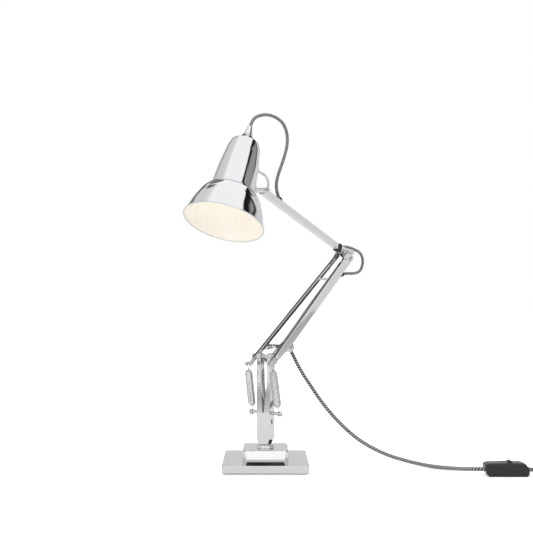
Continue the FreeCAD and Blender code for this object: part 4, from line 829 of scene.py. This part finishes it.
# %% [markdown]
# ## The springs
# Each spring is one wire: a hook round the lower pin, a coil that narrows at both ends, and a hook
# round the upper pin. A wire is a circle swept along a path, so a small Geometry Nodes tree does the
# sweeping, with the wire's radius and its number of sides as inputs.

# %% Wire tree
wire_tree = bpy.data.node_groups.new("sweep_wire", "GeometryNodeTree")
wire_tree.interface.new_socket("Geometry", in_out="INPUT", socket_type="NodeSocketGeometry")
radius_socket = wire_tree.interface.new_socket("Wire radius", in_out="INPUT", socket_type="NodeSocketFloat")
sides_socket = wire_tree.interface.new_socket("Sides", in_out="INPUT", socket_type="NodeSocketInt")
finish_socket = wire_tree.interface.new_socket("Finish", in_out="INPUT", socket_type="NodeSocketMaterial")
wire_tree.interface.new_socket("Geometry", in_out="OUTPUT", socket_type="NodeSocketGeometry")
wire_in = add_node(wire_tree, "NodeGroupInput")
ring = add_node(
    wire_tree, "GeometryNodeCurvePrimitiveCircle",
    {"Resolution": wire_in.outputs["Sides"], "Radius": wire_in.outputs["Wire radius"]})
centre_line = add_node(wire_tree, "GeometryNodeMeshToCurve", {"Mesh": wire_in.outputs["Geometry"]})
swept = add_node(
    wire_tree, "GeometryNodeCurveToMesh",
    {"Curve": centre_line.outputs["Curve"], "Profile Curve": ring.outputs["Curve"], "Fill Caps": True})
smooth = add_node(wire_tree, "GeometryNodeSetShadeSmooth", {"Geometry": swept.outputs["Mesh"]})
realized = add_node(wire_tree, "GeometryNodeRealizeInstances", {"Geometry": smooth.outputs["Geometry"]})
finished = add_node(
    wire_tree, "GeometryNodeSetMaterial",
    {"Geometry": realized.outputs["Geometry"], "Material": wire_in.outputs["Finish"]})
add_node(wire_tree, "NodeGroupOutput", {"Geometry": finished.outputs["Geometry"]})
print("wire tree has", len(wire_tree.nodes), "nodes")


def run_tree(name, mesh, tree, values):
    """Runs a node tree on a mesh and returns an object that holds the plain result."""
    holder = bpy.data.objects.new(name + "_path", mesh)
    scene.collection.objects.link(holder)
    modifier = holder.modifiers.new("tree", "NODES")
    modifier.node_group = tree
    for socket, value in values:
        modifier[socket.identifier] = value
    bpy.context.view_layer.update()
    result = bpy.data.meshes.new_from_object(holder.evaluated_get(bpy.context.evaluated_depsgraph_get()))
    result.name = name
    bpy.data.objects.remove(holder)
    piece = bpy.data.objects.new(name, result)
    scene.collection.objects.link(piece)
    return piece


def sweep_wire(name, line, radius, sides, material):
    path = bpy.data.meshes.new(name + "_path")
    path.from_pydata([tuple(p) for p in line], [(i, i + 1) for i in range(len(line) - 1)], [])
    return run_tree(
        name, path, wire_tree, [(radius_socket, radius), (sides_socket, sides), (finish_socket, material)])


# %% [markdown]
# The coil's radius grows over its first turns and shrinks over its last. The path is laid out along a
# straight axis between the two pins, with twenty points a turn, and the short stems and hooks join on
# with smooth bends. Lengths here are in millimetres.

# %% Spring path
mm = 0.001
wire_radius = 1.0
wire_sides = 10
pin_clearance = 0.3
spring_turns = 28
taper_turns = 3
coil_radius = 6.3
small_radius = 2.6
end_rise = 5.0
hook_turn = 230
hook_steps = 22
stem_steps = 8
join_steps = 10
steps_per_turn = 20


def smooth_steps(a, a_way, b, b_way, count):
    """Points on a cubic from a to b that leaves and arrives along the given ways."""
    reach = (b - a).length * 0.5
    c0 = a + a_way.normalized() * reach
    c1 = b - b_way.normalized() * reach
    made = []
    for i in range(count):
        t = i / count
        leaving = a * (1 - t) ** 3 + c0 * (3 * t * (1 - t) ** 2)
        made.append(leaving + c1 * (3 * t * t * (1 - t)) + b * t ** 3)
    return made


def spring_line(foot, foot_radius, head, head_radius, lower_reach, upper_reach):
    axis = (head - foot).normalized()
    side = axis.cross(across_the_arm).normalized() * -1
    other = axis.cross(side).normalized()
    coil_start = foot + axis * (foot_radius + lower_reach) * mm
    coil_end = head - axis * (head_radius + upper_reach) * mm
    length = (coil_end - coil_start).length

    def coil_at(turn):
        near_end = min(turn, spring_turns - turn) / taper_turns
        radius = coil_radius
        if near_end < 1:
            radius = small_radius + (coil_radius - small_radius) * math.sin(near_end * math.pi / 2)
        angle = 2 * math.pi * turn
        ring_place = side * math.cos(angle) + other * math.sin(angle)
        return coil_start + axis * (length * turn / spring_turns) + ring_place * (radius * mm)

    def hook_at(centre, radius, degrees):
        angle = math.radians(degrees)
        return centre + (side * math.cos(angle) + axis * math.sin(angle)) * (radius * mm)

    lower_hook = foot_radius + pin_clearance + wire_radius
    upper_hook = head_radius + pin_clearance + wire_radius
    line = [
        hook_at(foot, lower_hook, 360 - hook_turn + hook_turn * i / hook_steps) for i in range(hook_steps)]
    stem = foot + axis * (foot_radius + lower_reach - end_rise) * mm
    line += smooth_steps(hook_at(foot, lower_hook, 360), axis, stem, axis, stem_steps)
    first_way = coil_at(0.01) - coil_at(0)
    line += smooth_steps(stem, axis, coil_at(0), first_way, join_steps)
    steps = spring_turns * steps_per_turn
    line += [coil_at(spring_turns * i / steps) for i in range(steps)]
    stem = head - axis * (head_radius + upper_reach - end_rise) * mm
    last_way = coil_at(spring_turns) - coil_at(spring_turns - 0.01)
    line += smooth_steps(coil_at(spring_turns), last_way, stem, axis, join_steps)
    line += smooth_steps(stem, axis, hook_at(head, upper_hook, 180), axis, stem_steps)
    line += [hook_at(head, upper_hook, 180 - hook_turn * i / hook_steps) for i in range(hook_steps + 1)]
    return line


print("a spring has", spring_turns, "turns of", 2 * wire_radius, "mm wire")


# %% [markdown]
# The side springs cross two joints: in the lamp the coil stretches between post and lever, and the top
# hook moves with the lower arm. Each is cut at the coil's upper end, at the same point in both pieces. The
# centre spring hangs between the post and the link's pin, and crosses one joint. The pins at the springs'
# upper ends are close to the pivot and move only a little.

# %% Springs in place
anchor_height = 96.5
rod_radius, pin_radius = 3.0, 2.2
foot_across, head_across = 27.4, 25.7
tail_reach = 24
tail_pin = pivot - along_rise(lower_rise) * tail_reach
before_coil = hook_steps + stem_steps + join_steps
cut = before_coil + (spring_turns - taper_turns) * steps_per_turn
for name, across_sign, node_name in (("left", 1, "left_spring"), ("right", -1, "right_spring")):
    foot = arm_point(0, across_sign * foot_across, anchor_height)
    head = arm_point(tail_pin.x, across_sign * head_across, tail_pin.z)
    line = spring_line(foot, rod_radius, head, pin_radius, lower_reach=9.0, upper_reach=8.6)
    coil_piece = sweep_wire(
        name + "_spring_coil", line[:cut + 1], wire_radius * mm, wire_sides, spring_wire)
    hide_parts(node_name)
    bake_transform(coil_piece)
    hook_piece = sweep_wire(name + "_spring_hook", line[cut:], wire_radius * mm, wire_sides, spring_wire)
    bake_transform(hook_piece)
    print(name, "spring wire is", round(line_length(line), 3), "m long")

# %% Centre spring
rear_pin_radius, lever_pin_radius = 2.2, 2.5
foot = arm_point(17.0, 0, anchor_height - 4.5)
head = arm_point(*link_foot)
line = spring_line(foot, rear_pin_radius, head, lever_pin_radius, lower_reach=9.0, upper_reach=10.0)
centre_piece = sweep_wire("centre_spring_wire", line, wire_radius * mm, wire_sides, spring_wire)
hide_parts("centre_spring")
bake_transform(centre_piece)
print("centre spring wire is", round(line_length(line), 3), "m long")

# %% [markdown]
# ## Enamel inside the reflector
# The reflector is chrome outside and sprayed with a warm white enamel inside, where the light of the
# room gathers evenly. The enamel is a thin lathed skin just inside the metal. A node tree turns the
# outline round the head's axis, with the number of steps as an input.

# %% Lathe tree
lathe_tree = bpy.data.node_groups.new("lathe_outline", "GeometryNodeTree")
lathe_tree.interface.new_socket("Geometry", in_out="INPUT", socket_type="NodeSocketGeometry")
steps_socket = lathe_tree.interface.new_socket("Steps round", in_out="INPUT", socket_type="NodeSocketInt")
skin_socket = lathe_tree.interface.new_socket("Finish", in_out="INPUT", socket_type="NodeSocketMaterial")
lathe_tree.interface.new_socket("Geometry", in_out="OUTPUT", socket_type="NodeSocketGeometry")
lathe_in = add_node(lathe_tree, "NodeGroupInput")
outline_curve = add_node(lathe_tree, "GeometryNodeMeshToCurve", {"Mesh": lathe_in.outputs["Geometry"]})
sheet = add_node(
    lathe_tree, "GeometryNodeMeshGrid",
    {"Size X": 1.0, "Size Y": 1.0, "Vertices X": lathe_in.outputs["Steps round"], "Vertices Y": 72})
sheet_place = add_node(lathe_tree, "GeometryNodeInputPosition")
sheet_parts = add_node(lathe_tree, "ShaderNodeSeparateXYZ", {"Vector": sheet_place.outputs["Position"]})
turned = add_node(
    lathe_tree, "ShaderNodeMath", {0: sheet_parts.outputs["X"], 1: 2 * math.pi}, operation="MULTIPLY")
down = add_node(lathe_tree, "ShaderNodeMath", {0: sheet_parts.outputs["Y"], 1: 0.5}, operation="ADD")
outline_place = add_node(
    lathe_tree, "GeometryNodeSampleCurve",
    {"Curves": outline_curve.outputs["Curve"], "Factor": down.outputs[0]},
    mode="FACTOR", use_all_curves=True)
outline_parts = add_node(lathe_tree, "ShaderNodeSeparateXYZ", {"Vector": outline_place.outputs["Position"]})
cosine = add_node(lathe_tree, "ShaderNodeMath", {0: turned.outputs[0]}, operation="COSINE")
sine = add_node(lathe_tree, "ShaderNodeMath", {0: turned.outputs[0]}, operation="SINE")
outline_radius = outline_parts.outputs["X"]
lathed_x = add_node(
    lathe_tree, "ShaderNodeMath", {0: outline_radius, 1: cosine.outputs[0]}, operation="MULTIPLY")
lathed_y = add_node(
    lathe_tree, "ShaderNodeMath", {0: outline_radius, 1: sine.outputs[0]}, operation="MULTIPLY")
lathed_place = add_node(
    lathe_tree, "ShaderNodeCombineXYZ",
    {"X": lathed_x.outputs[0], "Y": lathed_y.outputs[0], "Z": outline_parts.outputs["Z"]})
turned_sheet = add_node(
    lathe_tree, "GeometryNodeSetPosition",
    {"Geometry": sheet.outputs["Mesh"], "Position": lathed_place.outputs["Vector"]})
closed = add_node(
    lathe_tree, "GeometryNodeMergeByDistance",
    {"Geometry": turned_sheet.outputs["Geometry"], "Distance": 0.000002})
rounded = add_node(lathe_tree, "GeometryNodeSetShadeSmooth", {"Geometry": closed.outputs["Geometry"]})
lathed = add_node(lathe_tree, "GeometryNodeRealizeInstances", {"Geometry": rounded.outputs["Geometry"]})
skinned = add_node(
    lathe_tree, "GeometryNodeSetMaterial",
    {"Geometry": lathed.outputs["Geometry"], "Material": lathe_in.outputs["Finish"]})
add_node(lathe_tree, "NodeGroupOutput", {"Geometry": skinned.outputs["Geometry"]})
print("lathe tree has", len(lathe_tree.nodes), "nodes")

# %% [markdown]
# The head's axis is found from the arm's tip. The straps lead up to the lug bolt, and the top of the cap
# lies back from the bolt along the axis and across it. The outline is the metal's own inner outline, set
# in by a small gap, as pairs of a radius and a distance down from the top of the cap. Three stretches
# are bowed: the shoulder and the bell outwards, and the flare a little inwards.

# %% Enamel skin
head_tilt = math.radians(25.6)
strap_lean = math.radians(38.5)
strap_length = 42.46
lug_down_cap, lug_off_axis = 48.03, 43.14
lug = tip + along_rise(strap_lean + math.pi / 2) * strap_length
down_head = Vector((-math.sin(head_tilt), 0, -math.cos(head_tilt)))
out_head = Vector((math.cos(head_tilt), 0, -math.sin(head_tilt)))
cap_top = lug - down_head * lug_down_cap - out_head * lug_off_axis
head_place = (
    Matrix.Rotation(arm_azimuth, 4, "Z") @ Matrix.Translation(cap_top / 1000)
    @ Matrix.Rotation(head_tilt, 4, "Y"))


def bowed(a, b, rise, count=12):
    """Points from a to b, bowed outwards by a rise, without the last."""
    run = Vector((b[0] - a[0], b[1] - a[1]))
    side = Vector((run.y, -run.x)).normalized()
    made = []
    for i in range(count):
        t = i / count
        bow = side * (rise * 4 * t * (1 - t))
        made.append((a[0] + run.x * t + bow.x, a[1] + run.y * t + bow.y))
    return made


def lathed_piece(name, outline, steps, material):
    """A skin turned round the head's axis, from points of a radius and a distance down the axis."""
    path = bpy.data.meshes.new(name + "_path")
    path.from_pydata(
        [(radius / 1000, 0, -reach / 1000) for radius, reach in outline],
        [(i, i + 1) for i in range(len(outline) - 1)], [])
    piece = run_tree(name, path, lathe_tree, [(steps_socket, steps), (skin_socket, material)])
    piece.data.transform(head_place)
    return piece


skin_gap = 0.4
skin_steps = 145
collar_down = 116.2 + skin_gap
collar, mid = (39.8 - skin_gap, collar_down), (54.1 - skin_gap, 137.6)
flare, mouth = (62.9 - skin_gap, 160.3), (68.6 - skin_gap, 177.6)
skin_outline = [(32.6, collar_down), (36, collar_down)]
skin_outline += bowed(collar, mid, 1.8) + bowed(mid, flare, 0.6) + bowed(flare, mouth, -0.24) + [mouth]
enamel_skin = lathed_piece("reflector_enamel", skin_outline, skin_steps, enamel)
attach(enamel_skin, "shade")
print("enamel skin has", len(enamel_skin.data.polygons), "faces")

# %% [markdown]
# The lamp is switched on in the photograph, so its enamel glows evenly and the bulb is hard to see. A
# small light just below the bulb does that, and the enamel gives it its warmth. It is much too weak to
# light the table.

# %% Light in the head
light_down_cap = 152
bulb_light = bpy.data.lights.new("bulb_light", "POINT")
bulb_light.energy = 0.018
bulb_light.color = (1.0, 0.98, 1.0)
bulb_light.shadow_soft_size = 0.012
bulb_lamp = bpy.data.objects.new("bulb_light", bulb_light)
bulb_lamp.location = arm_point(*(cap_top + down_head * light_down_cap))
bulb_lamp.visible_glossy = False
scene.collection.objects.link(bulb_lamp)
print("the bulb's light stands at", tuple(round(v, 3) for v in bulb_lamp.location))

# %% [markdown]
# ## Felt under the base
# The pad is pressed wool, with edges that are a little soft from handling.

# %% Felt pad
felt_side = 148.8
felt_corner = 6.8
felt_thick = 2.5
corner_steps = 8


def rounded_ring(inset, height):
    """One ring of points round a square with rounded corners."""
    half = felt_side / 2 - felt_corner
    ring_points = []
    for quarter in range(4):
        for step in range(corner_steps + 1):
            angle = math.radians(90 * quarter + 90 * step / corner_steps)
            centre_x = half if quarter in (0, 3) else -half
            centre_y = half if quarter in (0, 1) else -half
            reach = felt_corner - inset
            ring_points.append(row_point(
                centre_x + reach * math.cos(angle), centre_y + reach * math.sin(angle), height))
    return ring_points


rings = [rounded_ring(inset, height) for inset, height in (
    (0.3, 0.0), (0.0, 0.4), (0.0, felt_thick - 0.2), (0.1, felt_thick))]
ring_size = len(rings[0])
top_start = (len(rings) - 1) * ring_size
felt_faces = [tuple(reversed(range(ring_size))), tuple(top_start + k for k in range(ring_size))]
for level in range(len(rings) - 1):
    low_start, high_start = level * ring_size, (level + 1) * ring_size
    for k in range(ring_size):
        n = (k + 1) % ring_size
        felt_faces.append((low_start + k, low_start + n, high_start + n, high_start + k))
felt_mesh = bpy.data.meshes.new("pressed_felt_pad")
felt_mesh.from_pydata([tuple(p) for ring_points in rings for p in ring_points], [], felt_faces)
felt_mesh.materials.append(felt)
felt_piece = bpy.data.objects.new("pressed_felt_pad", felt_mesh)
scene.collection.objects.link(felt_piece)
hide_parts("felt_pad")
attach(felt_piece, "base")
print("felt pad has", len(felt_faces), "faces")

# %% [markdown]
# ## Finishes on the rigid parts
# Most of the lamp is chrome. A short list names the parts that aren't, and every other rigid part
# gets the chrome.

# %% Finishes
other_finishes = {
    "base_weight": cast_iron, "spindle": turned_steel, "post_bush": brass, "plug_pins": brass,
    "link_grommet": black_rubber, "arm_tip_grommet": black_rubber, "arm_end_plug": black_rubber,
    "switch_base": black_plastic, "switch_cover": black_plastic, "switch_rocker": black_plastic,
    "plug_body": black_plastic, "lampholder": holder_plastic, "bulb": pearl_glass,
}
for node_name, node_object in cad_nodes.items():
    node_object.data.materials.clear()
    node_object.data.materials.append(other_finishes.get(node_name, chrome))
print(len(other_finishes), "rigid parts have a finish of their own")
